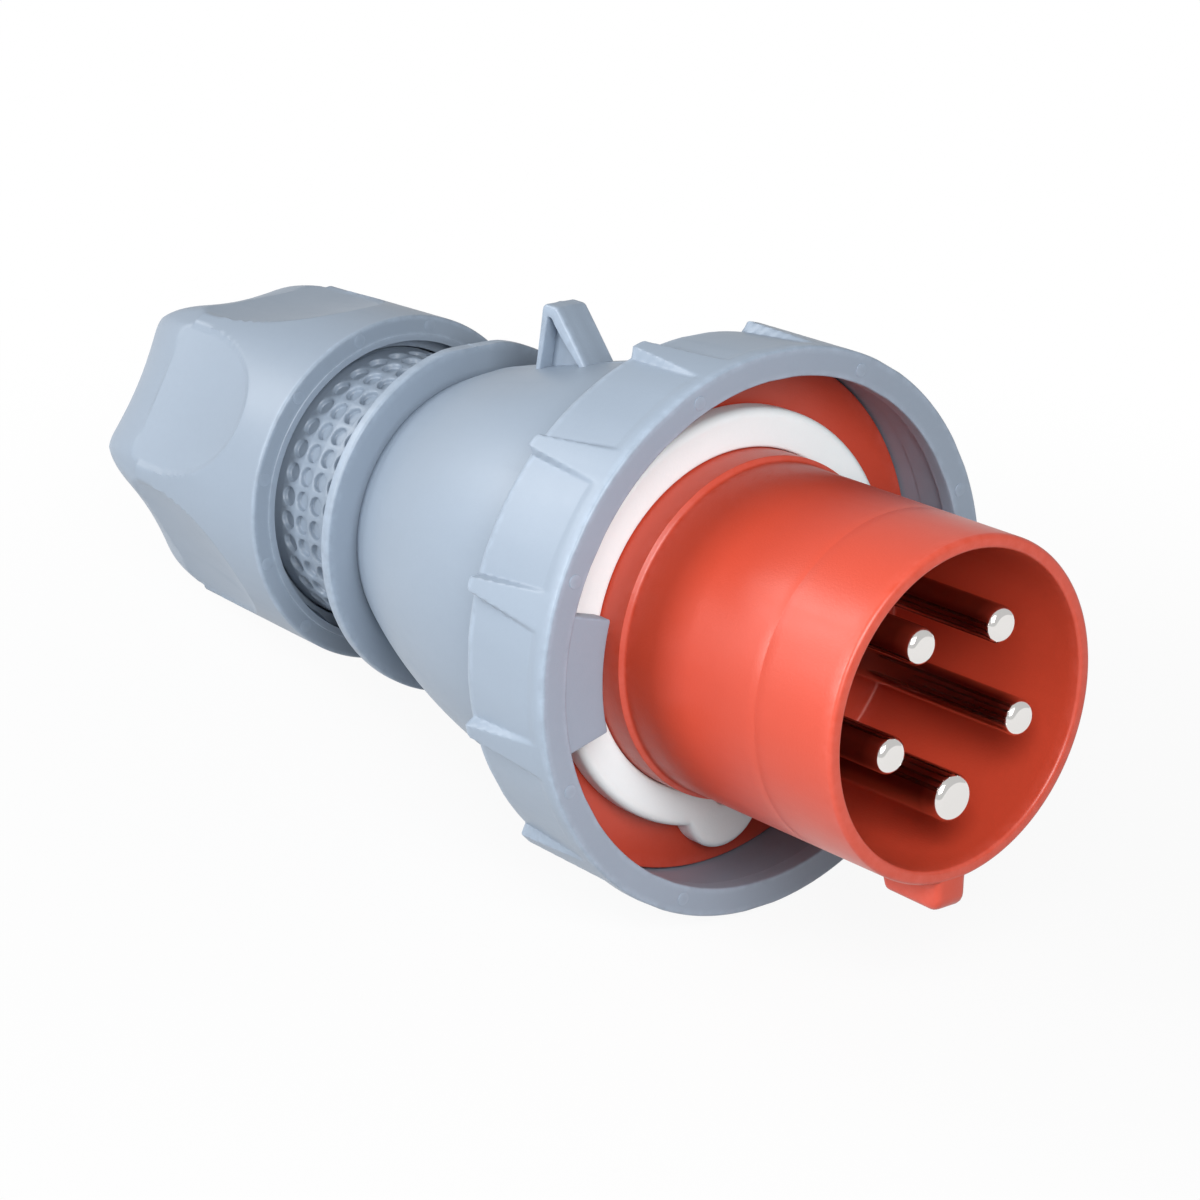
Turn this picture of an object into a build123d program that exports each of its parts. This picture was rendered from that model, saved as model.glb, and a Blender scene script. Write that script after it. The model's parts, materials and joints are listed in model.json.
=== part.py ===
from build123d import *
from math import cos, degrees, radians, sin, sqrt, asin
import os

# Industrial pin and sleeve plug: three phases, neutral and earth, with a
# locking ring and a cable gland. Millimetres. The plug lies along X, its
# sleeve's mouth at the origin and facing +X, its fin up and its key down.
# Angles are turned about +X by the right hand, from straight up.

os.makedirs("parts", exist_ok=True)

# Clearances
clear = 0.3             # between pieces that move on each other
fit = 0.05              # between pieces that are seated in each other

# Contact sleeve and its base
sleeve_r = 31.75
sleeve_wall = 2.6
sleeve_depth = 47.0     # from the mouth to the floor that the pins stand in
rim_round = 0.9
reach = 59.8            # from the mouth back to the gasket's face
collar_over = 1.55      # how far the collar stands out of the sleeve
collar_length = 6.4     # the part of the collar in front of the gasket
collar_round = 0.8
floor_thickness = 13.0
disc_gap = 0.35         # between the carrier's disc and the ring's bore
carrier_disc_thickness = 3.2
skirt_over = 5.75       # how much wider the skirt is than the sleeve
skirt_wall = 3.0
skirt_length = 8.0
recess_inset = 7.0      # from the skirt in to the hollow round the retainer
recess_depth = 6.5
hook_height = 1.2
hook_length = 2.0
hook_angle = 20.0
hook_count = 4

# Key under the mouth, and the half-round rib in line with it
key_width = 7.0
key_height = 6.2
key_length = 16.0
key_round = 2.4
key_slope = 2.0
rib_r = 3.0

# Face gasket
gasket_width = 6.8
gasket_thickness = 5.1
gasket_round = 1.3
lobe_r = 8.8
lobe_to_edge = 4.35     # from the lobe out to the disc's edge

# Pins
pin_circle_r = 16.6
phase_r = 3.0
earth_r = 4.0
pin_setback = 0.7       # from the mouth back to the pins' ends
tip_round = 1.5
pin_seat_over = 0.4     # how much thicker a pin is where it sits in the floor
pin_collar_over = 3.0   # how far a pin's collar stands out of its shank
pin_collar_thickness = 3.0
barrel_wall = 2.3       # of a terminal barrel, round its wire hole
wire_over = 0.5         # how much wider the wire hole is than the shank
wire_depth = 15.0
barrel_length = 26.0
pin_names = ("pin_earth", "pin_l1", "pin_l2", "pin_l3", "pin_neutral")
pin_angles = {name: 180 + number * 360 / len(pin_names) for number, name in enumerate(pin_names)}

# Terminal screws
screw_r = 2.5
screw_head_r = 3.7
screw_head_height = 2.6
screw_length = 6.4
screw_setback = 20.5    # from the pin's collar back to the screw's axis, clear of the skirt
screw_rise = 1.4        # gap under the head, with the terminal open
slot_width = 1.0
slot_depth = 1.2

# Retainer behind the pins' collars
retainer_thickness = 3.0
retainer_screw_r = 2.0
retainer_head_r = 3.8
retainer_head_height = 2.6
retainer_screw_length = 9.0

# Locking ring
ring_overhang = 10.5    # from the gasket's face forward to the ring's front
ring_lip_over = 1.5     # how far the lip stands in from the bore
ring_lip_length = 3.2
ring_wall = 4.0         # from the front band in to the bore
ring_panel_step = 0.3   # at the front of each sunken panel
ring_panel_fall = 2.0   # how much deeper the panels are at the back
ring_edge = 0.8
ring_back_round = 1.6
web_thickness = 2.4
lug_reach = 10.5        # from the bore in to a lug's face
lug_angle = 31.0
lug_thickness = 4.0
lug_setback = 0.6
lug_chamfer = 1.0
ring_ribs = 12
rib_front_width = 7.6
rib_back_width = 3.2
ring_turn = 45.0        # from open, as it lies here, to locked

# Housing
flange_thickness = 3.0
flange_over = 5.9       # how far the flange stands out of the hub
hub_over = 0.2          # how far the hub stands out of the body
web_gap = 0.5           # between the hub and the web's inner edge
stop_height = 1.8
stop_angle = 12.0
stop_gap = 0.5          # degrees left at each end of a stop's travel
bead_height = 1.2
bead_width = 1.2
body_front_r = 43.3
body_rear_over = 0.6    # how much wider the body's rear is than the neck
body_bulge = 3.5
body_bulge_at = 0.6
body_length = 62.0
wall = 4.2
crown_wall = 1.2        # more of it under the flatter top
crown_r = 52.0          # the flatter top of the body
crown_fall = 3.9        # how much lower the flatter top is than the body's front
crown_from_disc = 40.3  # where that height is, ahead of the rear disc
crown_slope = 14.0
rear_disc_over = 7.55   # how far the rear disc stands out of the neck
rear_disc_thickness = 2.5
rear_disc_edge = 0.6
rear_disc_flat = 0.65
neck_r = 28.5
neck_wall = 4.5
neck_length = 40.0
neck_chamfer = 1.0

# Fin on top of the body
fin_rise = 10.4         # above the flatter top
fin_top_length = 4.0
fin_front_foot = 16.5   # ahead of its rear foot
fin_rear_lean = 2.2
fin_thickness = 7.4
fin_web = 1.6
fin_rim = 1.7
fin_round = 0.9
fin_bend_forward = 5.2  # the front edge's middle, from the top's front end
fin_bend_drop = 5.6
fin_pocket_depth = 14.0 # from the fin's top down to the pockets' low corner
fin_pocket_forward = 2.9
fin_pocket_drop = 5.2
fin_to_disc = 22.5      # from the rear foot back to the rear disc

# Gland nut
nut_gap = 22.5          # from the rear disc back to the nut's rim
nut_wall = 7.35         # at the rim, outside the thread
nut_taper = 1.27        # how much slimmer the grip is at its back
nut_length = 47.2       # of the grip, from the rim to the cap
nut_edge = 0.8
nut_cap_step = 2.1      # from the grip in to the cap's corners
nut_cap_flat_step = 5.4 # from the grip in to the cap's flats
nut_cap_length = 21.3
nut_cap_round = 14.0
nut_mouth_over = 2.2    # how much wider the mouth is than the thread
nut_mouth_depth = 4.5
nut_lug_height = 1.1
nut_lug_angle = 24.0
nut_lugs = 6
nut_rest = 2.0          # degrees that the nut lies turned by
thread_length = 17.0
nut_thread_pitch = 4.0
seat_length = 3.4
cable_r = 13.5          # the nut's hole
cable_hole_length = 6.0
scallops = 6
scallop_r = 119.0       # of the large round bar that each scallop is cut by
scallop_depth = 3.8     # below the grip's back end, at the middle
scallop_to_cap = 2.5    # from the deepest place back to the cap

# Gland
basket_wall = 3.7
basket_seat_length = 12.0
basket_flange_over = 2.6
basket_flange_thickness = 2.0
finger_length = 14.0
finger_fall = 3.0
fingers = 12
finger_slot = 1.6
seal_bore_r = 11.0
seal_length = 22.0
seal_lip = 1.5
thrust_gap = 1.0        # from the thread in to the thrust ring
thrust_thickness = 3.0
thrust_width = 5.8
thrust_cone = 1.6
nut_turns = 3.0         # from where it lies here to the fingers

# O-rings, by the radius of their section
ring_seal_r = 0.95
carrier_seal_r = 0.85

# Places along the axis, worked out from the sizes above
x_gasket = -reach
x_disc = x_gasket - gasket_thickness
x_housing = x_disc - carrier_disc_thickness
x_flange_back = x_housing - flange_thickness
x_web = x_flange_back - clear
x_ring_back = x_web - web_thickness
x_ring_front = x_gasket + ring_overhang
x_hub_back = x_ring_back - clear - bead_width
x_rear_disc = x_hub_back - body_length
x_disc_back = x_rear_disc - rear_disc_thickness
x_neck_end = x_disc_back - neck_length
x_nut = x_disc_back - nut_gap
x_nut_cap = x_nut - nut_length
x_nut_back = x_nut_cap - nut_cap_length
x_floor = -sleeve_depth
x_floor_back = x_floor - floor_thickness
x_skirt_back = x_housing - skirt_length
x_recess_back = x_floor_back - recess_depth

# Radii, worked out from the sleeve, the body's front and the neck
collar_r = sleeve_r + collar_over
skirt_r = sleeve_r + skirt_over
spigot_r = skirt_r + clear
recess_r = skirt_r - recess_inset
gasket_r = collar_r + gasket_width
hub_r = body_front_r + hub_over
web_r = hub_r + web_gap
flange_r = hub_r + flange_over
ring_bore_r = flange_r + 2 * clear
ring_r = ring_bore_r + ring_wall
ring_lip_r = ring_bore_r - ring_lip_over
lug_r = ring_bore_r - lug_reach
carrier_disc_r = ring_bore_r - disc_gap
lobe_height = carrier_disc_r - lobe_to_edge - lobe_r
crown_front_height = body_front_r - crown_fall
fin_height = crown_front_height + fin_rise
body_rear_r = neck_r + body_rear_over
rear_disc_r = neck_r + rear_disc_over
neck_bore_r = neck_r - neck_wall
basket_r = neck_bore_r - fit
basket_bore_r = basket_r - basket_wall
seal_r = basket_bore_r - fit
nut_thread_r = neck_r + clear
nut_mouth_r = nut_thread_r + nut_mouth_over
nut_lug_r = nut_mouth_r - nut_lug_height
nut_front_r = nut_thread_r + nut_wall
nut_back_r = nut_front_r - nut_taper
thrust_r = nut_thread_r - thrust_gap
thrust_bore_r = thrust_r - thrust_width


def ring_of(profile_x, profile_r, start=0.0, arc=360.0):
    """A solid of revolution about X with a rectangular section, or an arc of one."""
    with BuildPart() as turned:
        with BuildSketch(Plane.XZ):
            with Locations(((profile_x[0] + profile_x[1]) / 2, (profile_r[0] + profile_r[1]) / 2)):
                Rectangle(abs(profile_x[1] - profile_x[0]), profile_r[1] - profile_r[0])
        revolve(axis=Axis.X, revolution_arc=arc)
    return turned.part.rotate(Axis.X, start)


def o_ring(centre_x, centre_r, section_r):
    """A rubber ring of round section about X."""
    with BuildPart() as seal:
        with BuildSketch(Plane.XZ):
            with Locations((centre_x, centre_r)):
                Circle(section_r)
        revolve(axis=Axis.X)
    return seal.part


def keep(piece, name):
    """Names a finished piece and writes its file."""
    piece.label = name
    export_step(piece, f"parts/{name}.step")


# Grooves for the two O-rings
x_ring_seal = x_housing - flange_thickness / 2
ring_seal_centre_r = ring_bore_r - clear - ring_seal_r
x_carrier_seal = x_housing - skirt_length * 0.35
carrier_seal_centre_r = spigot_r - fit - carrier_seal_r


# Contact carrier: sleeve, collar, flange disc and skirt in one red moulding
with BuildPart() as carrier:
    with BuildSketch(Plane.XZ):
        with BuildLine():
            Polyline(
                (0, sleeve_r - sleeve_wall),
                (0, sleeve_r),
                (x_gasket + collar_length, sleeve_r),
                (x_gasket + collar_length - (collar_r - sleeve_r), collar_r),
                (x_disc, collar_r),
                (x_disc, carrier_disc_r),
                (x_housing, carrier_disc_r),
                (x_housing, skirt_r),
                (x_skirt_back, skirt_r),
                (x_skirt_back, skirt_r - skirt_wall),
                (x_recess_back, skirt_r - skirt_wall),
                (x_recess_back, recess_r),
                (x_floor_back, recess_r),
                (x_floor_back, 0),
                (x_floor, 0),
                (x_floor, sleeve_r - sleeve_wall),
                close=True,
            )
        make_face()
    revolve(axis=Axis.X)
    mouth_edges = carrier.edges().filter_by(GeomType.CIRCLE).group_by(Axis.X)[-1]
    fillet(mouth_edges, rim_round)
    # Key under the mouth, sloping away at its back
    with BuildSketch(Plane.XZ):
        with BuildLine():
            Polyline(
                (0, -sleeve_r + sleeve_wall / 2),
                (0, -sleeve_r - key_height),
                (-key_length + key_slope, -sleeve_r - key_height),
                (-key_length, -sleeve_r + sleeve_wall / 2),
                close=True,
            )
        make_face()
    key_block = extrude(amount=key_width / 2, both=True)
    key_edges = carrier.edges().filter_by(Axis.X).group_by(Axis.Z)[0]
    fillet(key_edges, key_round)
    # Half-round rib at the foot of the sleeve, which the gasket's notch passes
    with BuildSketch(Plane.YZ.offset(x_gasket + collar_length / 2)):
        with Locations((0, -collar_r)):
            Circle(rib_r)
    extrude(amount=-(collar_length / 2 + gasket_thickness))
    # Snap hooks at the back of the skirt
    for hook in range(hook_count):
        add(
            ring_of(
                (x_skirt_back + hook_length, x_skirt_back),
                (skirt_r - skirt_wall / 2, skirt_r + hook_height),
                start=(hook + 0.5) * 360 / hook_count - hook_angle / 2,
                arc=hook_angle,
            )
        )
    # Groove for the O-ring
    add(
        ring_of(
            (x_carrier_seal + carrier_seal_r + fit, x_carrier_seal - carrier_seal_r - fit),
            (carrier_seal_centre_r - carrier_seal_r - fit, skirt_r + fit),
        ),
        mode=Mode.SUBTRACT,
    )
    # A hole for each pin, with a seat for its collar
    for name, angle in pin_angles.items():
        shank = earth_r if name == "pin_earth" else phase_r
        with BuildPart(mode=Mode.PRIVATE) as pin_hole:
            with BuildSketch(Plane.YZ.offset(x_floor)):
                with Locations((0, pin_circle_r)):
                    Circle(shank + pin_seat_over + fit)
            extrude(amount=-floor_thickness)
            with BuildSketch(Plane.YZ.offset(x_floor_back)):
                with Locations((0, pin_circle_r)):
                    Circle(shank + pin_collar_over + fit)
            extrude(amount=pin_collar_thickness)
        add(pin_hole.part.rotate(Axis.X, angle), mode=Mode.SUBTRACT)
    # Pilot hole of the retainer's screw
    with BuildSketch(Plane.YZ.offset(x_floor_back)):
        Circle(retainer_screw_r + fit)
    extrude(amount=retainer_screw_length - retainer_thickness + 1, mode=Mode.SUBTRACT)
keep(carrier.part, "contact_carrier")


# Face gasket, with a lobe and a notch at the bottom
with BuildPart() as gasket:
    with BuildSketch(Plane.YZ.offset(x_gasket)):
        Circle(gasket_r)
        with Locations((0, -lobe_height)):
            Circle(lobe_r)
        Circle(collar_r + fit, mode=Mode.SUBTRACT)
        with Locations((0, -collar_r)):
            Circle(rib_r + fit, mode=Mode.SUBTRACT)
    extrude(amount=-gasket_thickness)
    outer_edges = (
        gasket.faces().filter_by(Axis.X).sort_by(Axis.X)[-1].outer_wire().edges()
    )
    fillet(outer_edges, gasket_round)
keep(gasket.part, "face_gasket")


# Pins and their terminal screws
def turned_pin(shank):
    """A turned pin at the top of the circle: tip, shank, seat, collar and terminal barrel."""
    collar = shank + pin_collar_over
    bore = shank + wire_over
    barrel = bore + barrel_wall
    x_collar = x_floor_back + pin_collar_thickness
    x_barrel_end = x_floor_back - barrel_length
    with BuildPart() as pin:
        with BuildSketch(Plane.YZ.offset(-pin_setback)):
            Circle(shank)
        extrude(amount=-(sleeve_depth - pin_setback))
        tip = pin.faces().sort_by(Axis.X)[-1].edges()
        fillet(tip, tip_round)
        with BuildSketch(Plane.YZ.offset(x_floor)):
            Circle(shank + pin_seat_over)
        extrude(amount=-(x_floor - x_collar))
        with BuildSketch(Plane.YZ.offset(x_collar)):
            Circle(collar)
        extrude(amount=-pin_collar_thickness)
        with BuildSketch(Plane.YZ.offset(x_floor_back)):
            Circle(barrel)
        extrude(amount=-barrel_length)
        with BuildSketch(Plane.YZ.offset(x_barrel_end)):
            Circle(bore)
        extrude(amount=wire_depth, mode=Mode.SUBTRACT)
        with BuildSketch(Plane.XY):
            with Locations((x_floor_back - screw_setback, 0)):
                Circle(screw_r)
        extrude(amount=barrel + 1, mode=Mode.SUBTRACT)
    return pin.part.moved(Location((0, 0, pin_circle_r)))


def terminal_screw(shank):
    """A slotted cheese-head screw, standing outward in the barrel at the top of the circle."""
    barrel = shank + wire_over + barrel_wall
    head_foot = pin_circle_r + barrel + screw_rise
    with BuildPart() as screw:
        with BuildSketch(Plane.XY.offset(head_foot)):
            with Locations((x_floor_back - screw_setback, 0)):
                Circle(screw_head_r)
        extrude(amount=screw_head_height)
        with BuildSketch(Plane.XY.offset(head_foot)):
            with Locations((x_floor_back - screw_setback, 0)):
                Circle(screw_r - fit)
        extrude(amount=-screw_length)
        with BuildSketch(Plane.XY.offset(head_foot + screw_head_height)):
            with Locations((x_floor_back - screw_setback, 0)):
                Rectangle(slot_width, 3 * screw_head_r)
        extrude(amount=-slot_depth, mode=Mode.SUBTRACT)
    return screw.part


for name, angle in pin_angles.items():
    shank = earth_r if name == "pin_earth" else phase_r
    keep(turned_pin(shank).rotate(Axis.X, angle), name)
    keep(terminal_screw(shank).rotate(Axis.X, angle), name.replace("pin", "terminal_screw"))


# Retainer plate, which holds the pins' collars in their seats
with BuildPart() as retainer:
    with BuildSketch(Plane.YZ.offset(x_floor_back)):
        Circle(recess_r - clear)
        Circle(retainer_screw_r + fit, mode=Mode.SUBTRACT)
    extrude(amount=-retainer_thickness)
    for name, angle in pin_angles.items():
        shank = earth_r if name == "pin_earth" else phase_r
        with BuildPart(mode=Mode.PRIVATE) as barrel_hole:
            with BuildSketch(Plane.YZ.offset(x_floor_back)):
                with Locations((0, pin_circle_r)):
                    Circle(shank + wire_over + barrel_wall + fit)
            extrude(amount=-retainer_thickness)
        add(barrel_hole.part.rotate(Axis.X, angle), mode=Mode.SUBTRACT)
keep(retainer.part, "pin_retainer")

with BuildPart() as retainer_screw:
    with BuildSketch(Plane.YZ.offset(x_floor_back - retainer_thickness)):
        Circle(retainer_head_r)
    extrude(amount=-retainer_head_height)
    with BuildSketch(Plane.YZ.offset(x_floor_back - retainer_thickness)):
        Circle(retainer_screw_r)
    extrude(amount=retainer_screw_length)
    with BuildSketch(Plane.YZ.offset(x_floor_back - retainer_thickness - retainer_head_height)):
        Rectangle(slot_width, 3 * retainer_head_r)
    extrude(amount=slot_depth, mode=Mode.SUBTRACT)
keep(retainer_screw.part, "retainer_screw")


# Locking ring: a front band, twelve ribs with sunken panels between them,
# two lugs inside the mouth and a web that turns behind the housing's flange
with BuildPart() as grip_rib:
    tip_r = rib_back_width / 2
    x_lip_back = x_ring_front - ring_lip_length
    with BuildSketch(Plane.XY.offset(ring_bore_r - ring_wall)):
        with BuildLine():
            Line((x_ring_back + tip_r, -tip_r), (x_lip_back + 1, -rib_front_width / 2))
            Line((x_lip_back + 1, -rib_front_width / 2), (x_lip_back + 1, rib_front_width / 2))
            Line((x_lip_back + 1, rib_front_width / 2), (x_ring_back + tip_r, tip_r))
            ThreePointArc((x_ring_back + tip_r, tip_r), (x_ring_back, 0), (x_ring_back + tip_r, -tip_r))
        make_face()
    extrude(amount=3 * ring_wall)

with BuildPart() as panels:
    panel_front_r = ring_r - ring_panel_step
    panel_back_r = panel_front_r - ring_panel_fall
    with BuildSketch(Plane.XZ):
        with BuildLine():
            Line((x_lip_back, panel_front_r), (x_ring_back + ring_back_round, panel_back_r))
            RadiusArc(
                (x_ring_back + ring_back_round, panel_back_r),
                (x_ring_back, panel_back_r - ring_back_round),
                -ring_back_round,
            )
            Polyline(
                (x_ring_back, panel_back_r - ring_back_round),
                (x_ring_back - 1, panel_back_r - ring_back_round),
                (x_ring_back - 1, ring_r + 1),
                (x_lip_back, ring_r + 1),
                (x_lip_back, panel_front_r),
            )
        make_face()
    revolve(axis=Axis.X)
    for number in range(ring_ribs):
        add(grip_rib.part.rotate(Axis.X, (number + 0.5) * 360 / ring_ribs), mode=Mode.SUBTRACT)

with BuildPart() as ring:
    with BuildSketch(Plane.XZ):
        with BuildLine():
            Polyline(
                (x_ring_front, ring_lip_r),
                (x_ring_front, ring_r),
                (x_ring_back, ring_r),
                (x_ring_back, web_r),
                (x_web, web_r),
                (x_web, ring_bore_r),
                (x_lip_back, ring_bore_r),
                (x_lip_back, ring_lip_r),
                close=True,
            )
        make_face()
    revolve(axis=Axis.X)
    front_edge = ring.edges().group_by(Axis.X)[-1].sort_by(SortBy.RADIUS)[-1]
    fillet(front_edge, ring_edge)
    add(panels.part, mode=Mode.SUBTRACT)
    # Lugs that draw the plug into its socket
    x_lug = x_ring_front - lug_setback
    with BuildPart(mode=Mode.PRIVATE) as lug:
        with BuildSketch(Plane.XZ):
            with BuildLine():
                Polyline(
                    (x_lug, lug_r),
                    (x_lug, ring_lip_r + 1),
                    (x_lug - lug_thickness, ring_bore_r + 1),
                    (x_lug - lug_thickness, lug_r + lug_chamfer),
                    (x_lug - lug_thickness + lug_chamfer, lug_r),
                    close=True,
                )
            make_face()
        revolve(axis=Axis.X, revolution_arc=lug_angle)
    for side in (90, -90):
        add(lug.part.rotate(Axis.X, side - lug_angle / 2))
    # Two slots in the web, as long as the ring's turn, for the housing's stops
    slot_r = hub_r + stop_height + clear
    slot_arc = ring_turn + stop_angle + 2 * stop_gap
    for side in (0, 180):
        add(
            ring_of(
                (x_web, x_ring_back),
                (web_r - clear, slot_r),
                start=side + stop_angle / 2 + stop_gap - slot_arc,
                arc=slot_arc,
            ),
            mode=Mode.SUBTRACT,
        )
keep(ring.part, "locking_ring")
keep(o_ring(x_ring_seal, ring_seal_centre_r, ring_seal_r), "ring_seal")
keep(o_ring(x_carrier_seal, carrier_seal_centre_r, carrier_seal_r), "carrier_seal")


# Housing: flange and hub, tapered body with a flatter top, rear disc and neck
def body_radius_at(share):
    """Radius of the body's chord at a share of its length, without the bulge."""
    return body_front_r + share * (body_rear_r - body_front_r)


x_bulge = x_hub_back - body_bulge_at * body_length
bulge_r = body_radius_at(body_bulge_at) + body_bulge
x_spigot_back = x_skirt_back + hook_length + clear

with BuildPart() as housing:
    with BuildSketch(Plane.XZ):
        with BuildLine():
            Polyline(
                (x_rear_disc, 0),
                (x_flange_back, 0),
                (x_flange_back, hub_r),
                (x_hub_back, hub_r),
                (x_hub_back, body_front_r),
            )
            ThreePointArc((x_hub_back, body_front_r), (x_bulge, bulge_r), (x_rear_disc, body_rear_r))
            Line((x_rear_disc, body_rear_r), (x_rear_disc, 0))
        make_face()
    revolve(axis=Axis.X)
    # The flatter top is what a larger, tilted round bar leaves
    crown_drop = crown_r - crown_front_height
    x_crown = x_rear_disc + crown_from_disc
    crown_plane = Plane(
        origin=(x_crown, 0, -crown_drop),
        x_dir=(0, 1, 0),
        z_dir=(-cos(radians(crown_slope)), 0, -sin(radians(crown_slope))),
    )
    with BuildPart(mode=Mode.PRIVATE) as crown_waste:
        with BuildSketch(Plane.YZ.offset(x_rear_disc)):
            with Locations((0, body_front_r)):
                Rectangle(2 * body_front_r, 2 * body_front_r)
        extrude(amount=body_length - 1)
        with BuildSketch(crown_plane):
            Circle(crown_r)
        extrude(amount=2 * body_length, both=True, mode=Mode.SUBTRACT)
    add(crown_waste.part, mode=Mode.SUBTRACT)
    # Flange that the ring's web turns behind, with a groove for the O-ring
    add(ring_of((x_housing, x_flange_back), (hub_r - wall, flange_r)))
    add(
        ring_of(
            (x_ring_seal + ring_seal_r + fit, x_ring_seal - ring_seal_r - fit),
            (ring_seal_centre_r - ring_seal_r - fit, flange_r + 1),
        ),
        mode=Mode.SUBTRACT,
    )
    # Bead behind the web, which the ring is pressed over
    add(ring_of((x_hub_back, x_hub_back + bead_width), (hub_r - 1, hub_r + bead_height)))
    # Stops in the web's slots
    for side in (0, 180):
        add(
            ring_of(
                (x_flange_back, x_ring_back),
                (hub_r - 1, hub_r + stop_height),
                start=side - stop_angle / 2,
                arc=stop_angle,
            )
        )
    # Rear disc, with a small flat on top
    with BuildSketch(Plane.YZ.offset(x_rear_disc)):
        Circle(rear_disc_r)
    extrude(amount=-rear_disc_thickness)
    disc_edges = housing.edges().filter_by(GeomType.CIRCLE).group_by(Axis.X)[0]
    chamfer(disc_edges, rear_disc_edge)
    flat_height = rear_disc_r - rear_disc_flat
    with BuildSketch(Plane.YZ.offset(x_disc_back)):
        with Locations((0, flat_height + rear_disc_flat)):
            Rectangle(rear_disc_r, 2 * rear_disc_flat)
    extrude(amount=rear_disc_thickness, mode=Mode.SUBTRACT)
    # Neck that the nut screws on
    with BuildSketch(Plane.YZ.offset(x_disc_back)):
        Circle(neck_r)
    extrude(amount=-neck_length)
    chamfer(housing.faces().sort_by(Axis.X)[0].edges(), neck_chamfer)
    # Fin on the body, with a thin web between two pockets
    x_fin_rear = x_rear_disc + fin_to_disc
    x_fin_top = x_fin_rear + fin_rear_lean
    fin_foot = body_rear_r
    fin_front_z = crown_front_height
    with BuildSketch(Plane.XZ):
        with BuildLine():
            Polyline(
                (x_fin_rear + fin_front_foot, fin_front_z - 2 * wall / 3),
                (x_fin_rear + fin_front_foot, fin_foot),
                (x_fin_rear, fin_foot),
                (x_fin_rear, fin_foot + wall),
                (x_fin_top, fin_height),
                (x_fin_top + fin_top_length, fin_height),
            )
            ThreePointArc(
                (x_fin_top + fin_top_length, fin_height),
                (x_fin_top + fin_top_length + fin_bend_forward, fin_height - fin_bend_drop),
                (x_fin_rear + fin_front_foot, fin_front_z - 2 * wall / 3),
            )
        make_face()
    extrude(amount=fin_thickness / 2, both=True)
    fin_edges = housing.edges().filter_by(Axis.Y).group_by(Axis.Z)[-1]
    fillet(fin_edges, fin_round)
    pocket_plan = [
        (x_fin_top + fin_rim, fin_height - fin_rim - 0.6),
        (x_fin_rear + fin_rim - 0.4, fin_height - fin_pocket_depth),
        (x_fin_rear + fin_front_foot - 3.2, fin_front_z),
        (x_fin_top + fin_top_length + fin_pocket_forward, fin_height - fin_pocket_drop),
        (x_fin_top + fin_top_length - 0.6, fin_height - fin_rim - 0.6),
    ]
    for side in (1, -1):
        with BuildSketch(Plane.XZ.offset(side * fin_web / 2)):
            with BuildLine():
                Polyline(*pocket_plan, close=True)
            make_face()
        extrude(amount=side * fin_thickness, mode=Mode.SUBTRACT)
    # Hollow inside, from the flange to the neck's end
    with BuildSketch(Plane.XZ):
        with BuildLine():
            Polyline(
                (x_rear_disc, body_rear_r - wall),
                (x_rear_disc, neck_bore_r),
                (x_neck_end, neck_bore_r),
                (x_neck_end, 0),
                (x_housing, 0),
                (x_housing, spigot_r),
                (x_spigot_back, spigot_r),
                (x_spigot_back, body_front_r - wall),
            )
            ThreePointArc(
                (x_spigot_back, body_front_r - wall),
                (x_bulge, bulge_r - wall - crown_wall),
                (x_rear_disc, body_rear_r - wall),
            )
        make_face()
    revolve(axis=Axis.X, mode=Mode.SUBTRACT)
keep(housing.part, "housing")


# Gland: clamping basket in the neck's end, the seal inside it, and the thrust ring
x_basket_flange = x_neck_end - basket_flange_thickness
x_finger_end = x_basket_flange - finger_length

with BuildPart() as basket:
    with BuildSketch(Plane.XZ):
        with BuildLine():
            Polyline(
                (x_neck_end + basket_seat_length, basket_bore_r),
                (x_neck_end + basket_seat_length, basket_r),
                (x_neck_end, basket_r),
                (x_neck_end, basket_r + basket_flange_over),
                (x_basket_flange, basket_r + basket_flange_over),
                (x_basket_flange, basket_r),
                (x_finger_end, basket_r - finger_fall),
                (x_finger_end, basket_bore_r),
                close=True,
            )
        make_face()
    revolve(axis=Axis.X)
    with BuildPart(mode=Mode.PRIVATE) as slot_cutter:
        with BuildSketch(Plane.YZ.offset(x_finger_end)):
            with Locations((0, basket_r)):
                Rectangle(finger_slot, 3 * basket_wall)
        extrude(amount=finger_length)
    for number in range(fingers):
        add(slot_cutter.part.rotate(Axis.X, number * 360 / fingers), mode=Mode.SUBTRACT)
keep(basket.part, "clamping_basket")

x_seal_back = x_finger_end + 1
with BuildPart() as seal:
    with BuildSketch(Plane.XZ):
        with BuildLine():
            Polyline(
                (x_seal_back, seal_bore_r),
                (x_seal_back, seal_r),
                (x_seal_back + seal_length, seal_r),
                (x_seal_back + seal_length, seal_bore_r + seal_lip),
                (x_seal_back + seal_length / 2, seal_bore_r),
                close=True,
            )
        make_face()
    revolve(axis=Axis.X)
keep(seal.part, "cable_seal")

nut_travel = nut_turns * nut_thread_pitch
x_thrust = x_finger_end - nut_travel - clear
x_thrust_back = x_thrust - thrust_thickness
with BuildPart() as thrust:
    with BuildSketch(Plane.XZ):
        with BuildLine():
            Polyline(
                (x_thrust, thrust_bore_r + thrust_cone),
                (x_thrust, thrust_r),
                (x_thrust_back, thrust_r),
                (x_thrust_back, thrust_bore_r),
                (x_thrust + thrust_cone - thrust_thickness, thrust_bore_r),
                close=True,
            )
        make_face()
    revolve(axis=Axis.X)
keep(thrust.part, "thrust_ring")


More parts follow.
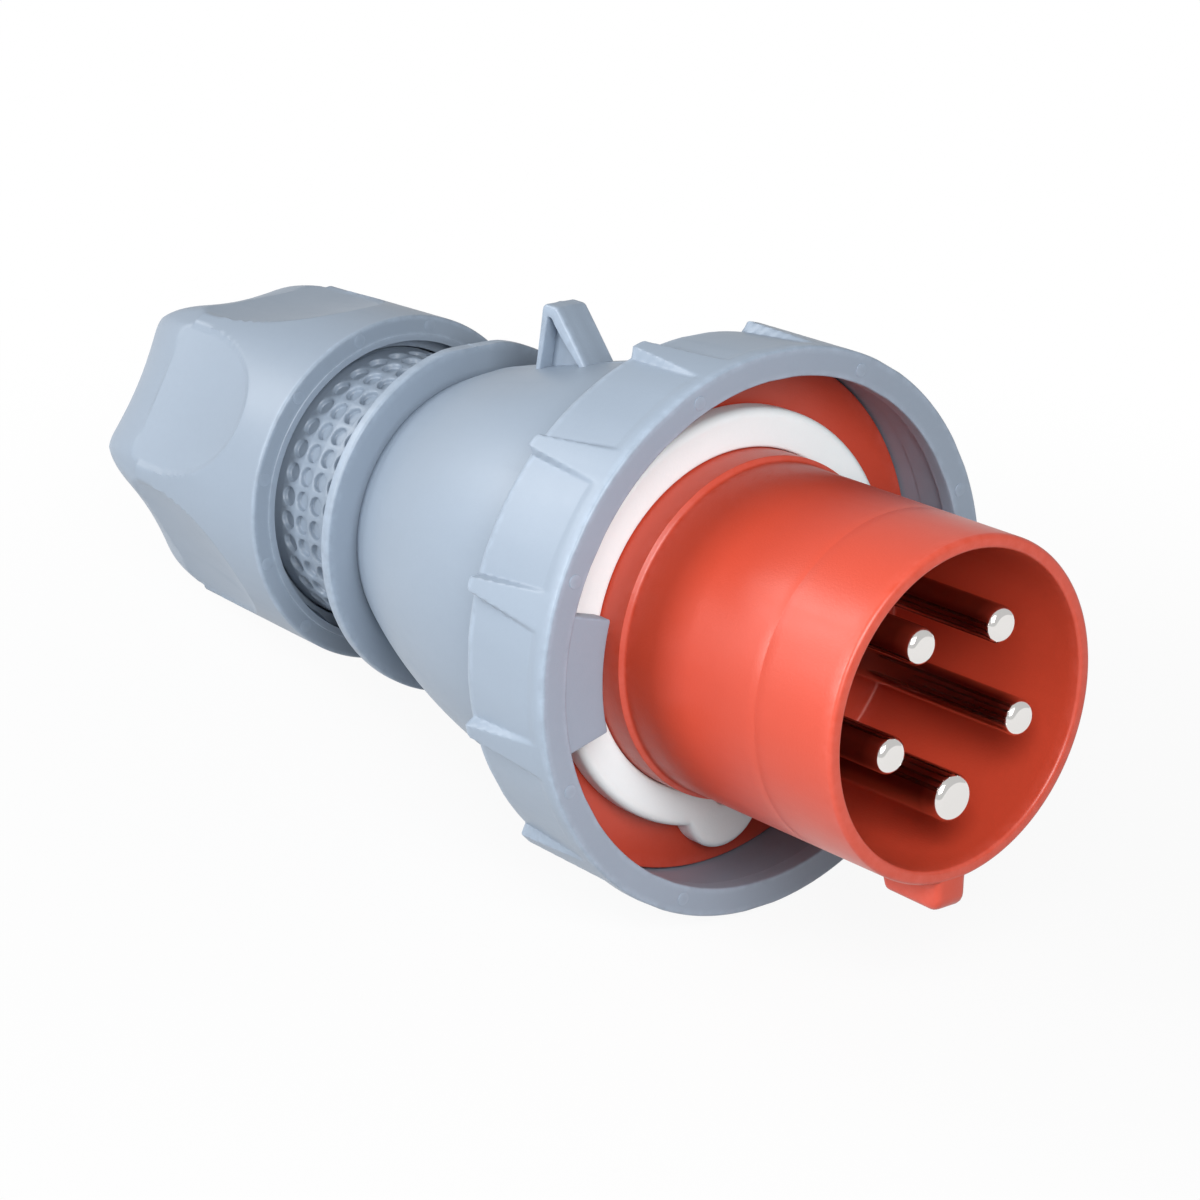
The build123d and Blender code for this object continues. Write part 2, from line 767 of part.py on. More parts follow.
# Gland nut: rim, threaded band, six scallops and a domed back
x_nut_thread = x_nut - nut_mouth_depth
x_nut_hollow = x_nut_thread - thread_length
x_seat = x_thrust_back - clear
x_nut_cap_round = x_nut_back + nut_cap_round
nut_cap_r = nut_back_r - nut_cap_step
nut_flat_height = nut_back_r - nut_cap_flat_step

with BuildPart() as nut:
    with BuildSketch(Plane.XZ):
        with BuildLine():
            Polyline(
                (x_nut_back, 0),
                (x_nut, 0),
                (x_nut, nut_front_r),
                (x_nut_cap, nut_back_r),
                (x_nut_cap, nut_cap_r),
                (x_nut_cap_round, nut_cap_r),
            )
            RadiusArc((x_nut_cap_round, nut_cap_r), (x_nut_back, nut_cap_r - nut_cap_round), -nut_cap_round)
            Line((x_nut_back, nut_cap_r - nut_cap_round), (x_nut_back, 0))
        make_face()
    revolve(axis=Axis.X)
    fillet(nut.edges().group_by(Axis.X)[-1], nut_edge)
    # Flats of the cap, which round off towards its back as its corners do
    with BuildPart(mode=Mode.PRIVATE) as flat:
        with BuildSketch(Plane.XZ):
            with BuildLine():
                Line((x_nut_cap, nut_flat_height), (x_nut_cap_round, nut_flat_height))
                RadiusArc(
                    (x_nut_cap_round, nut_flat_height),
                    (x_nut_back, nut_flat_height - nut_cap_round),
                    -nut_cap_round,
                )
                Polyline(
                    (x_nut_back, nut_flat_height - nut_cap_round),
                    (x_nut_back, nut_front_r),
                    (x_nut_cap, nut_front_r),
                    (x_nut_cap, nut_flat_height),
                )
            make_face()
        extrude(amount=nut_cap_r, both=True)
    # Thumb scallops, each the cut of a large round bar that lies across the grip
    with BuildPart(mode=Mode.PRIVATE) as scallop:
        with BuildSketch(Plane.XZ):
            with Locations((x_nut_cap + scallop_to_cap, nut_back_r - scallop_depth + scallop_r)):
                Circle(scallop_r)
        extrude(amount=nut_front_r, both=True)
    for number in range(scallops):
        place = nut_rest + number * 360 / scallops
        add(flat.part.rotate(Axis.X, place), mode=Mode.SUBTRACT)
        add(scallop.part.rotate(Axis.X, place), mode=Mode.SUBTRACT)
    # Inside: open mouth, thread band, hollow, seat of the thrust ring, cable hole
    with BuildSketch(Plane.XZ):
        with BuildLine():
            Polyline(
                (x_nut, 0),
                (x_nut, nut_mouth_r),
                (x_nut_thread, nut_mouth_r),
                (x_nut_thread, nut_thread_r),
                (x_nut_hollow, nut_thread_r),
                (x_seat, thrust_r + clear),
                (x_seat, thrust_bore_r),
                (x_nut_back + cable_hole_length, cable_r),
                (x_nut_back, cable_r),
                (x_nut_back, 0),
                close=True,
            )
        make_face()
    revolve(axis=Axis.X, mode=Mode.SUBTRACT)
    # Small lugs round the mouth
    for number in range(nut_lugs):
        add(
            ring_of(
                (x_nut - nut_edge, x_nut_thread),
                (nut_lug_r, nut_mouth_r + 1),
                start=nut_rest + number * 360 / nut_lugs,
                arc=nut_lug_angle,
            )
        )
keep(nut.part, "gland_nut")
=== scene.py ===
"""Looks of an industrial pin and sleeve plug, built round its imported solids."""

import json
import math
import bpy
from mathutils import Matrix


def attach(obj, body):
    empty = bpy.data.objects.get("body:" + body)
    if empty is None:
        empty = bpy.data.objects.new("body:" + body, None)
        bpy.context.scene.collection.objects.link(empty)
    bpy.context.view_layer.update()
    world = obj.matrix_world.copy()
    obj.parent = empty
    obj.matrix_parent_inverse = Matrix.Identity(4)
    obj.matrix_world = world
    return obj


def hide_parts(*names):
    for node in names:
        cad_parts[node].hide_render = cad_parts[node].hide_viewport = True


bl_info = {
    "name": "Pin and sleeve plug",
    "version": (1, 0, 0),
    "blender": (4, 5, 0),
    "location": "View3D > Sidebar > Plug",
    "description": "Dresses the solids of an industrial plug in moulded plastic, rubber and plated metal",
    "category": "Object",
}

import bmesh
import bpy
import numpy as np
from bpy.props import FloatProperty, FloatVectorProperty, PointerProperty
from mathutils import Matrix, Vector

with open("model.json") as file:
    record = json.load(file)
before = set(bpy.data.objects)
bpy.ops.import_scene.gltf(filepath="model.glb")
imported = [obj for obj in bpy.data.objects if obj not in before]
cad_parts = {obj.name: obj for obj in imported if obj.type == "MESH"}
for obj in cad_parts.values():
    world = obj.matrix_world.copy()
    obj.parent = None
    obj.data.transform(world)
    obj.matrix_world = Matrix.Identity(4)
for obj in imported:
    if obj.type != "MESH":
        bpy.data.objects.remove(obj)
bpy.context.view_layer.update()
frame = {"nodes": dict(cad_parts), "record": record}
MM = 0.001
TURN = 2 * math.pi

# Places along the axis, in millimetres. The mouth of the sleeve is at 0 and faces +X.
X_FLOOR = -47.0
X_FLOOR_BACK = -60.0
X_PIN_COLLAR = -57.0
X_BARREL_BACK = -86.0
X_GASKET = -59.8
X_DISC = -64.9
X_HOUSING = -68.1
X_FLANGE_BACK = -71.1
X_WEB = -71.4
X_RING_FRONT = -49.3
X_LIP_BACK = -52.5
X_RING_BACK = -73.8
X_HUB_BACK = -75.3
X_REAR_DISC = -137.3
X_DISC_BACK = -139.8
X_NECK_END = -179.8
X_NUT = -162.3
X_NUT_THREAD = -166.8
X_NUT_CAP = -209.5
X_NUT_BACK = -230.8
X_CARRIER_BACK = -76.1
X_DIMPLES = -145.5
X_DIMPLES_BACK = -163.5

# Radii, in millimetres.
R_BORE = 29.15
R_SLEEVE = 31.75
R_COLLAR = 32.75
R_RING = 54.0
R_RING_MOUTH = 48.5
R_FLANGE = 49.4
R_HUB = 43.5
R_REAR_DISC = 36.05
R_NECK = 28.5
R_NUT = 36.15
R_NUT_CAP = 34.88
R_NUT_MOUTH = 31.0
R_NUT_BACK = 17.5
R_ENTRY = 13.5
BOSS_FROM_AXIS = 33.3


# Outlines and grids


def soft_outline(corners, step=2.0, arc=5, closed=True):
    """Points along an outline of (x, y, round) corners, and how worn each is.

    Each corner becomes an arc that touches both of its sides; the straight runs are
    divided into equal steps. Points on the arcs are worn by 1, the others by 0.
    """
    at = np.array([c[:2] for c in corners], float)
    rounds = [c[2] for c in corners]
    count = len(at)
    pieces, worn = [], []
    for i in range(count):
        before, here, after = at[i - 1], at[i], at[(i + 1) % count]
        end = not closed and i in (0, count - 1)
        if end or rounds[i] <= 0:
            pieces.append(here[None])
            worn.append(np.zeros(1))
            continue
        a = (before - here) / np.linalg.norm(before - here)
        b = (after - here) / np.linalg.norm(after - here)
        half = math.acos(float(np.clip(a @ b, -1, 1))) / 2
        room = 0.49 * min(np.linalg.norm(before - here), np.linalg.norm(after - here))
        reach = min(rounds[i] / math.tan(half), room)
        middle = (a + b) / np.linalg.norm(a + b)
        centre = here + middle * reach / math.cos(half)
        start, stop = here + a * reach - centre, here + b * reach - centre
        sweep = math.pi - 2 * half
        share = np.linspace(0, 1, arc + 1)[:, None]
        bend = (np.sin((1 - share) * sweep) * start + np.sin(share * sweep) * stop) / math.sin(sweep)
        pieces.append(centre + bend)
        worn.append(np.ones(arc + 1))
    points, marks = [], []
    last = count if closed else count - 1
    for i in range(count):
        points.append(pieces[i])
        marks.append(worn[i])
        if i < last:
            start, stop = pieces[i][-1], pieces[(i + 1) % count][0]
            runs = max(1, int(np.linalg.norm(stop - start) / step))
            share = np.linspace(0, 1, runs + 1)[1:-1, None]
            points.append(start + share * (stop - start))
            marks.append(np.zeros(len(share)))
    return np.concatenate(points), np.concatenate(marks)


def arc_through(first, middle, last, count):
    """Points of the circle's arc from first through middle to last."""
    a, b, c = (np.array(p, float) for p in (first, middle, last))
    sides = np.array([b - a, c - a])
    centre = a + np.linalg.solve(2 * sides, (sides**2).sum(1))
    angles = [math.atan2(*(p - centre)[::-1]) for p in (a, b, c)]
    turned = np.unwrap(angles)
    sweep = np.linspace(turned[0], turned[2], count)
    radius = np.linalg.norm(a - centre)
    return centre + radius * np.stack([np.cos(sweep), np.sin(sweep)], 1)


def grid_faces(rows, columns, wrap_rows=True, wrap_columns=True):
    """Quads of a grid of points, closed on itself along rows, columns or both."""
    i = np.arange(rows if wrap_rows else rows - 1)[:, None]
    j = np.arange(columns if wrap_columns else columns - 1)[None]
    near, far = (j % columns), (j + 1) % columns
    low, high = i * columns, ((i + 1) % rows) * columns
    return np.stack([low + near, low + far, high + far, high + near], -1).reshape(-1, 4)


def outward(points, faces):
    """The faces, turned round if the closed surface they make has a negative volume."""
    a, b, c, d = (points[faces[:, k]] for k in range(4))
    volume = (a * np.cross(b, c)).sum() + (a * np.cross(c, d)).sum()
    return faces if volume > 0 else faces[:, ::-1]


def around(columns, extra=()):
    """Angles from straight up round the whole turn, with extra ones where detail needs them."""
    even = np.arange(columns) * TURN / columns
    return np.unique(np.round(np.concatenate([even, np.mod(np.array(extra, float), TURN)]), 6))


def lathe(profile, worn, angles, shape=None, closed=True):
    """A surface turned about X: at angle t and profile point (x, r) it lies at (x, r sin t, r cos t).

    shape(t, x, r) may change the three arrays before that. A profile that isn't
    closed starts and ends on the axis, where its points meet.
    """
    t = np.repeat(angles[:, None], len(profile), 1)
    x = np.repeat(profile[None, :, 0], len(angles), 0)
    r = np.repeat(profile[None, :, 1], len(angles), 0)
    if shape:
        t, x, r = shape(t, x, r)
    points = np.stack([x, r * np.sin(t), r * np.cos(t)], -1).reshape(-1, 3)
    faces = grid_faces(len(angles), len(profile), True, closed)
    marks = np.broadcast_to(worn, t.shape).reshape(-1)
    return points, outward(points, faces), marks


def inset(outline, depth):
    """A closed outline moved inwards by depth, along the mean normal of its two sides."""
    side = np.roll(outline, -1, 0) - outline
    side /= np.maximum(np.linalg.norm(side, axis=1, keepdims=True), 1e-9)
    normal = np.stack([-side[:, 1], side[:, 0]], 1)
    normal = normal + np.roll(normal, 1, 0)
    normal /= np.linalg.norm(normal, axis=1, keepdims=True)
    x, y = outline.T
    area = (x * np.roll(y, -1) - np.roll(x, -1) * y).sum()
    return outline + normal * depth * np.sign(area)


def soft_levels(half, soft, arc=4):
    """Heights from -half to half, and the inset at each that rounds both edges by soft."""
    turn = np.linspace(0, math.pi / 2, arc + 1)
    height = half - soft + soft * np.sin(turn)
    depth = soft - soft * np.cos(turn)
    return np.concatenate([-height[::-1], height]), np.concatenate([depth[::-1], depth])


def layered(outline, levels, depths, place, edge_wear, flat_wear):
    """A form through copies of an outline, each inset by its depth, and pinched shut at both ends.

    place(x, y, level) gives the three coordinates of a copy at its level. The copies
    that are inset are worn by edge_wear, the rest by flat_wear.
    """
    sections = []
    for level, depth in zip(levels, depths):
        x, y = (inset(outline, depth) if depth else outline).T
        sections.append(np.stack(np.broadcast_arrays(*place(x, y, level)), 1))
    first, last = (np.repeat(end.mean(0)[None], len(outline), 0) for end in (sections[0], sections[-1]))
    points = np.concatenate([first, *sections, last])
    faces = grid_faces(len(sections) + 2, len(outline), False, True)
    marks = np.concatenate([[0.0], np.where(depths > 0, edge_wear, flat_wear), [0.0]])
    return points, outward(points, faces), np.repeat(marks, len(outline))


def slab(outline, half, soft, edge_wear=1.0):
    """An (x, z) outline made into a plate across Y, half as thick each way, with soft edges."""
    return layered(outline, *soft_levels(half, soft), lambda x, z, y: (x, y, z), edge_wear, 0.3)


def arc_block(outline, start, stop, soft):
    """An (x, r) outline swept about X from angle start to stop, in radians, with soft ends."""
    middle_r = outline[:, 1].mean()
    half = (stop - start) / 2 * middle_r
    levels, depths = soft_levels(half, soft)
    inner = np.linspace(-(half - soft), half - soft, 24)[1:-1]
    levels, depths = (np.insert(a, len(a) // 2, b) for a, b in ((levels, inner), (depths, 0 * inner)))

    def swept(x, r, way):
        """The outline turned to where way, a length at the middle radius, puts it."""
        t = (start + stop) / 2 + way / middle_r
        return x, r * math.sin(t), r * math.cos(t)

    return layered(outline, levels, depths, swept, 1.0, 0.0)


def button(x, from_axis, angle, radius, height, sunk=0.3):
    """A low round mark on a face that looks along +X, at an angle from straight up."""
    top, foot = x + height, x - sunk
    profile, worn = soft_outline(
        [(top, 0, 0), (top, radius, height * 0.3), (foot, radius + height, 0), (foot, 0, 0)],
        step=4,
        arc=3,
        closed=False,
    )
    points, faces, marks = lathe(profile, worn, around(28), closed=False)
    shift = np.array([0, from_axis * math.sin(angle), from_axis * math.cos(angle)])
    return points + shift, faces, marks


def soft_min(a, b, blend):
    """The smaller of two arrays, with a fillet of about blend where they cross."""
    share = np.clip(0.5 + 0.5 * (b - a) / blend, 0, 1)
    return b * (1 - share) + a * share - blend * share * (1 - share)


def soft_max(a, b, blend):
    """The larger of two arrays, with a fillet of about blend where they cross."""
    return -soft_min(-a, -b, blend)


def smooth_step(value, low, high):
    """0 below low, 1 above high, and an S curve between them."""
    share = np.clip((value - low) / (high - low), 0, 1)
    return share * share * (3 - 2 * share)


def from_centre(t, centre=0.0, period=TURN):
    """Angles measured from the nearest of the centres that repeat by period."""
    return np.mod(t - centre + period / 2, period) - period / 2


def bar_radius(t, height, bar, slope):
    """Distance from the axis to the far side of a round bar, along angle t.

    The bar's centre line passes over the axis at the given height and leans by slope,
    so its cut across the axis is an ellipse, and the distance is the greater root of
    a quadratic.
    """
    c2 = math.cos(slope) ** 2
    square = c2 * np.cos(t) ** 2 + np.sin(t) ** 2
    half = height * c2 * np.cos(t)
    rest = half**2 - square * (height**2 * c2 - bar**2)
    found = (half + np.sqrt(np.maximum(rest, 0))) / square
    return np.where((rest > 0) & (found > 0), found, 1e3)


# Objects


def make_object(name, parts, body, material, replaces=(), sharp=38.0):
    """One object from closed surfaces, each a tuple of points, quads and wear."""
    offsets = np.cumsum([0] + [len(p[0]) for p in parts[:-1]])
    points = np.concatenate([p[0] for p in parts])
    faces = np.concatenate([p[1] + o for p, o in zip(parts, offsets)])
    worn = np.concatenate([p[2] for p in parts])
    mesh = bpy.data.meshes.new(name)
    mesh.vertices.add(len(points))
    mesh.vertices.foreach_set("co", (points * MM).astype(np.float32).ravel())
    mesh.loops.add(faces.size)
    mesh.loops.foreach_set("vertex_index", faces.astype(np.int32).ravel())
    mesh.polygons.add(len(faces))
    mesh.polygons.foreach_set("loop_start", np.arange(0, faces.size, 4, dtype=np.int32))
    mesh.update(calc_edges=True)
    mesh.attributes.new("worn", "FLOAT", "POINT").data.foreach_set("value", worn.astype(np.float32))
    cleaned = bmesh.new()
    cleaned.from_mesh(mesh)
    bmesh.ops.remove_doubles(cleaned, verts=cleaned.verts, dist=2e-7)
    cleaned.to_mesh(mesh)
    cleaned.free()
    mesh.shade_smooth()
    mesh.set_sharp_from_angle(angle=math.radians(sharp))
    made = bpy.data.objects.new(name, mesh)
    bpy.context.scene.collection.objects.link(made)
    made.data.materials.append(bpy.data.materials[material])
    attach(made, body)
    if replaces:
        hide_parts(*replaces)


# Materials


def new_group(name, inputs, outputs):
    """An empty shader group with named float or colour inputs and outputs."""
    group = bpy.data.node_groups.new(name, "ShaderNodeTree")
    for label, kind, value in inputs:
        socket = group.interface.new_socket(label, in_out="INPUT", socket_type=kind)
        socket.default_value = value
    for label, kind in outputs:
        group.interface.new_socket(label, in_out="OUTPUT", socket_type=kind)
    return group, group.nodes.new("NodeGroupInput").outputs, group.nodes.new("NodeGroupOutput").inputs


def wire(tree, source, target):
    """Links two sockets."""
    tree.links.new(source, target)


def add_node(tree, kind, **values):
    """A new shader node, with inputs set by name, where an underscore stands for a space."""
    node = tree.nodes.new("ShaderNode" + kind)
    for label, value in values.items():
        node.inputs[label.replace("_", " ")].default_value = value
    return node


def attribute(tree, name):
    """The value of a mesh's attribute."""
    node = add_node(tree, "Attribute")
    node.attribute_name = name
    return node.outputs["Fac"]


def colour_mix(tree, share, first, second):
    """The first colour turned into the second by a share; all three are sockets or values."""
    node = add_node(tree, "Mix")
    node.data_type = "RGBA"
    for value, label in ((share, "Factor"), (first, "A"), (second, "B")):
        if isinstance(value, tuple):
            node.inputs[label].default_value = value
        else:
            wire(tree, value, node.inputs[label])
    return node.outputs["Result"]


def math_node(tree, operation, first, second=0.0, clamp=False):
    """The output of a Math node, whose inputs are numbers or sockets."""
    node = add_node(tree, "Math")
    node.operation = operation
    node.use_clamp = clamp
    for value, socket in zip((first, second), node.inputs):
        if isinstance(value, (int, float)):
            socket.default_value = value
        else:
            wire(tree, value, socket)
    return node.outputs[0]


def noise(tree, scale, detail=2.0, rough=0.5, stretch=(1, 1, 1)):
    """The value of a noise on the object's own coordinates, with scale as a number or a socket."""
    place = add_node(tree, "TexCoord")
    turn = add_node(tree, "Mapping", Scale=stretch)
    wire(tree, place.outputs["Object"], turn.inputs["Vector"])
    node = add_node(tree, "TexNoise", Detail=detail, Roughness=rough)
    wire(tree, turn.outputs[0], node.inputs["Vector"])
    if isinstance(scale, float):
        node.inputs["Scale"].default_value = scale
    else:
        wire(tree, scale, node.inputs["Scale"])
    return node.outputs[0]


def build_groups():
    """The groups that the finishes share: moulded grain, tone and gloss."""
    group, given, out = new_group(
        "moulded grain",
        [(label, "NodeSocketFloat", 1.0) for label in ("Fineness", "Grain", "Swell")],
        [("Height", "NodeSocketFloat")],
    )
    fine = noise(group, given["Fineness"], 3.0, 0.6)
    broad = noise(group, 55.0, 1.0, 0.4)
    grain = math_node(group, "MULTIPLY", fine, given["Grain"])
    swell = math_node(group, "MULTIPLY", broad, given["Swell"])
    wire(group, math_node(group, "ADD", grain, swell), out["Height"])

    group, given, out = new_group(
        "moulded tone",
        [
            ("Colour", "NodeSocketColor", (0.5, 0.5, 0.5, 1)),
            ("Drift", "NodeSocketFloat", 0.06),
            ("Rubbed", "NodeSocketColor", (0.8, 0.8, 0.8, 1)),
            ("Rubbing", "NodeSocketFloat", 0.25),
        ],
        [("Colour", "NodeSocketColor")],
    )
    drift = noise(group, 38.0, 4.0, 0.6, (0.45, 1, 1))
    speck = noise(group, 900.0, 2.0, 0.5)
    broad_part = math_node(group, "MULTIPLY", drift, 0.8)
    speck_part = math_node(group, "MULTIPLY", speck, 0.2)
    mixed = math_node(group, "ADD", broad_part, speck_part)
    away = math_node(group, "SUBTRACT", mixed, 0.5)
    change = math_node(group, "ADD", math_node(group, "MULTIPLY", away, given["Drift"]), 1.0)
    scaled = add_node(group, "VectorMath")
    scaled.operation = "SCALE"
    wire(group, given["Colour"], scaled.inputs[0])
    wire(group, change, scaled.inputs["Scale"])
    patchy = noise(group, 420.0, 3.0, 0.6)
    patch = math_node(group, "MULTIPLY", math_node(group, "SUBTRACT", patchy, 0.32), 2.6, clamp=True)
    wear = math_node(group, "MULTIPLY", attribute(group, "worn"), patch)
    share = math_node(group, "MULTIPLY", wear, given["Rubbing"])
    wire(group, colour_mix(group, share, scaled.outputs[0], given["Rubbed"]), out["Colour"])

    group, given, out = new_group(
        "moulded gloss",
        [(label, "NodeSocketFloat", 0.4) for label in ("Base", "Spread", "Scuff")],
        [("Roughness", "NodeSocketFloat")],
    )
    patchy = noise(group, 120.0, 4.0, 0.65)
    away = math_node(group, "SUBTRACT", patchy, 0.5)
    base = math_node(group, "ADD", given["Base"], math_node(group, "MULTIPLY", away, given["Spread"]))
    streak = noise(group, 260.0, 2.0, 0.5, (0.12, 1, 1))
    streak = math_node(group, "SUBTRACT", streak, 0.55, clamp=True)
    scuff = math_node(group, "MULTIPLY", streak, given["Scuff"])
    wire(group, math_node(group, "ADD", base, scuff, clamp=True), out["Roughness"])


def mix_shaders(tree, share, first, second, target):
    """Joins the first shader, turned into the second by a share, to the output named target."""
    mix = add_node(tree, "MixShader")
    for source, socket in zip((share, first.outputs[0], second.outputs[0]), mix.inputs):
        wire(tree, source, socket)
    wire(tree, mix.outputs[0], tree.nodes[target].inputs["Surface"])


def place_group(tree, name, **values):
    """A group node in a material, with its inputs set by name."""
    node = add_node(tree, "Group")
    node.node_tree = bpy.data.node_groups[name]
    for label, value in values.items():
        node.inputs[label].default_value = value
    return node


def new_material(name):
    """The tree and the Principled shader of a new material."""
    material = bpy.data.materials.new(name)
    material.use_nodes = True
    return material.node_tree, material.node_tree.nodes["Principled BSDF"]


def dress(tree, shader, colour, gloss, height, relief):
    """Joins a colour, a gloss group and a height to the shader, with the bump's relief in metres."""
    bump = add_node(tree, "Bump", Strength=1.0, Distance=relief)
    wire(tree, height, bump.inputs["Height"])
    wire(tree, colour, shader.inputs["Base Color"])
    wire(tree, gloss.outputs[0], shader.inputs["Roughness"])
    wire(tree, bump.outputs[0], shader.inputs["Normal"])


def moulded(name, colour, rubbed, tone, gloss, grain, relief):
    """A moulded plastic or rubber, made from the shared groups.

    tone is how far the colour drifts and how much its edges are rubbed, gloss is the
    roughness and its spread, and grain is fineness, height of the grain and swell.
    """
    tree, shader = new_material(name)
    drift, rubbing = tone
    colours = {"Colour": (*colour, 1), "Rubbed": (*rubbed, 1)}
    toned = place_group(tree, "moulded tone", **colours, Drift=drift, Rubbing=rubbing)
    shine = place_group(tree, "moulded gloss", Base=gloss[0], Spread=gloss[1], Scuff=0.25)
    surface = place_group(tree, "moulded grain", Fineness=grain[0], Grain=grain[1], Swell=grain[2])
    dress(tree, shader, toned.outputs[0], shine, surface.outputs[0], relief)


def plated(name, colour, shade, gloss, relief, stretch):
    """A plated metal with fine tool marks along one direction.

    It has the full colour where its mask attribute is 1, and shade times that elsewhere; on the pins
    that mask is 1 only on the tips, so their shafts get painted shade. gloss is the roughness and its spread.
    """
    tree, shader = new_material(name)
    shader.inputs["Metallic"].default_value = 1.0
    # The colour away from the mask, darkened by shade: on the pins this is painted shade along the shafts.
    painted_shade_colour = (*(c * shade for c in colour), 1)
    toned = place_group(tree, "moulded tone", Colour=painted_shade_colour, Rubbed=painted_shade_colour, Drift=0.3, Rubbing=0.0)
    mixed = colour_mix(tree, attribute(tree, "worn"), toned.outputs[0], (*colour, 1))
    shine = place_group(tree, "moulded gloss", Base=gloss[0], Spread=gloss[1], Scuff=0.5)
    dress(tree, shader, mixed, shine, noise(tree, 1500.0, 2.0, 0.5, stretch), relief)


# What a user would change


class PlugSizes(bpy.types.PropertyGroup):
    """Sizes of the fine detail, in metres."""

    dimple_width: FloatProperty(
        name="Dimple width",
        description="Across one dimple of the neck",
        default=0.0039,
        unit="LENGTH",
        subtype="DISTANCE",
    )
    dimple_depth: FloatProperty(
        name="Dimple depth",
        description="Depth of a neck dimple",
        default=0.0012,
        unit="LENGTH",
        subtype="DISTANCE",
    )
    seam_height: FloatProperty(
        name="Seam height",
        description="How far the mould's seam stands proud",
        default=0.00012,
        unit="LENGTH",
        subtype="DISTANCE",
    )
    mark_width: FloatProperty(
        name="Mark width",
        description="Across one ejector mark on the ring",
        default=0.0025,
        unit="LENGTH",
        subtype="DISTANCE",
    )


class PlugColours(bpy.types.PropertyGroup):
    """Colours of the finishes."""

    shell: FloatVectorProperty(
        name="Shell", description="Housing, ring and nut", default=(0.262, 0.320, 0.396), subtype="COLOR"
    )
    carrier: FloatVectorProperty(
        name="Carrier", description="Contact sleeve", default=(0.52, 0.056, 0.026), subtype="COLOR"
    )
    gasket: FloatVectorProperty(
        name="Gasket", description="Pale face gasket", default=(0.84, 0.915, 0.935), subtype="COLOR"
    )
    pins: FloatVectorProperty(
        name="Pins", description="Nickel plating", default=(0.80, 0.78, 0.76), subtype="COLOR"
    )


class PLUG_OT_finishes(bpy.types.Operator):
    """Makes the finishes and gives the inner solids theirs"""

    bl_idname = "plug.finishes"
    bl_label = "Finishes"

    def execute(self, context):
        colours = context.scene.plug_colours
        build_groups()
        shell, red = tuple(colours.shell), tuple(colours.carrier)
        rubbed_shell = tuple(min(1, c * 1.45) for c in shell)
        rubbed_red = tuple(min(1, c * 1.1 + 0.05) for c in red)
        moulded("shell plastic", shell, rubbed_shell, (0.16, 0.45), (0.42, 0.10), (2600.0, 0.35, 0.8), 5e-5)
        moulded("carrier plastic", red, rubbed_red, (0.14, 0.4), (0.36, 0.10), (2200.0, 0.45, 0.6), 7e-5)
        pale, black, grey = tuple(colours.gasket), (0.02, 0.02, 0.02), (0.55, 0.55, 0.56)
        moulded("gasket rubber", pale, (0.86, 0.85, 0.84), (0.06, 0.2), (0.62, 0.1), (1800.0, 0.8, 0.6), 6e-5)
        moulded("black rubber", black, (0.05, 0.05, 0.05), (0.2, 0.3), (0.6, 0.1), (1800.0, 0.8, 0.4), 5e-5)
        moulded("gland plastic", grey, (0.65, 0.65, 0.65), (0.1, 0.3), (0.45, 0.1), (2400.0, 0.4, 0.6), 4e-5)
        # On the pins, shade 0.5 halves the colour along the shafts: painted shade; the tips keep the full
        # colour.
        plated("pin nickel", tuple(colours.pins), 0.5, (0.12, 0.06), 1.2e-6, (0.02, 1, 1))
        plated("screw zinc", (0.62, 0.62, 0.60), 1.0, (0.32, 0.12), 6e-6, (1, 1, 0.05))
        finish_of = {
            "shell_grey": "shell plastic",
            "carrier_red": "carrier plastic",
            "gasket_pale": "gasket rubber",
            "seal_black": "black rubber",
            "gland_plastic": "gland plastic",
            "screw_steel": "screw zinc",
            "pin_nickel": "pin nickel",
        }
        for part in frame["record"]["subparts"]:
            node = frame["nodes"][part["node"]]
            node.data.materials.clear()
            node.data.materials.append(bpy.data.materials[finish_of[part["material_slot"]]])
        return {"FINISHED"}


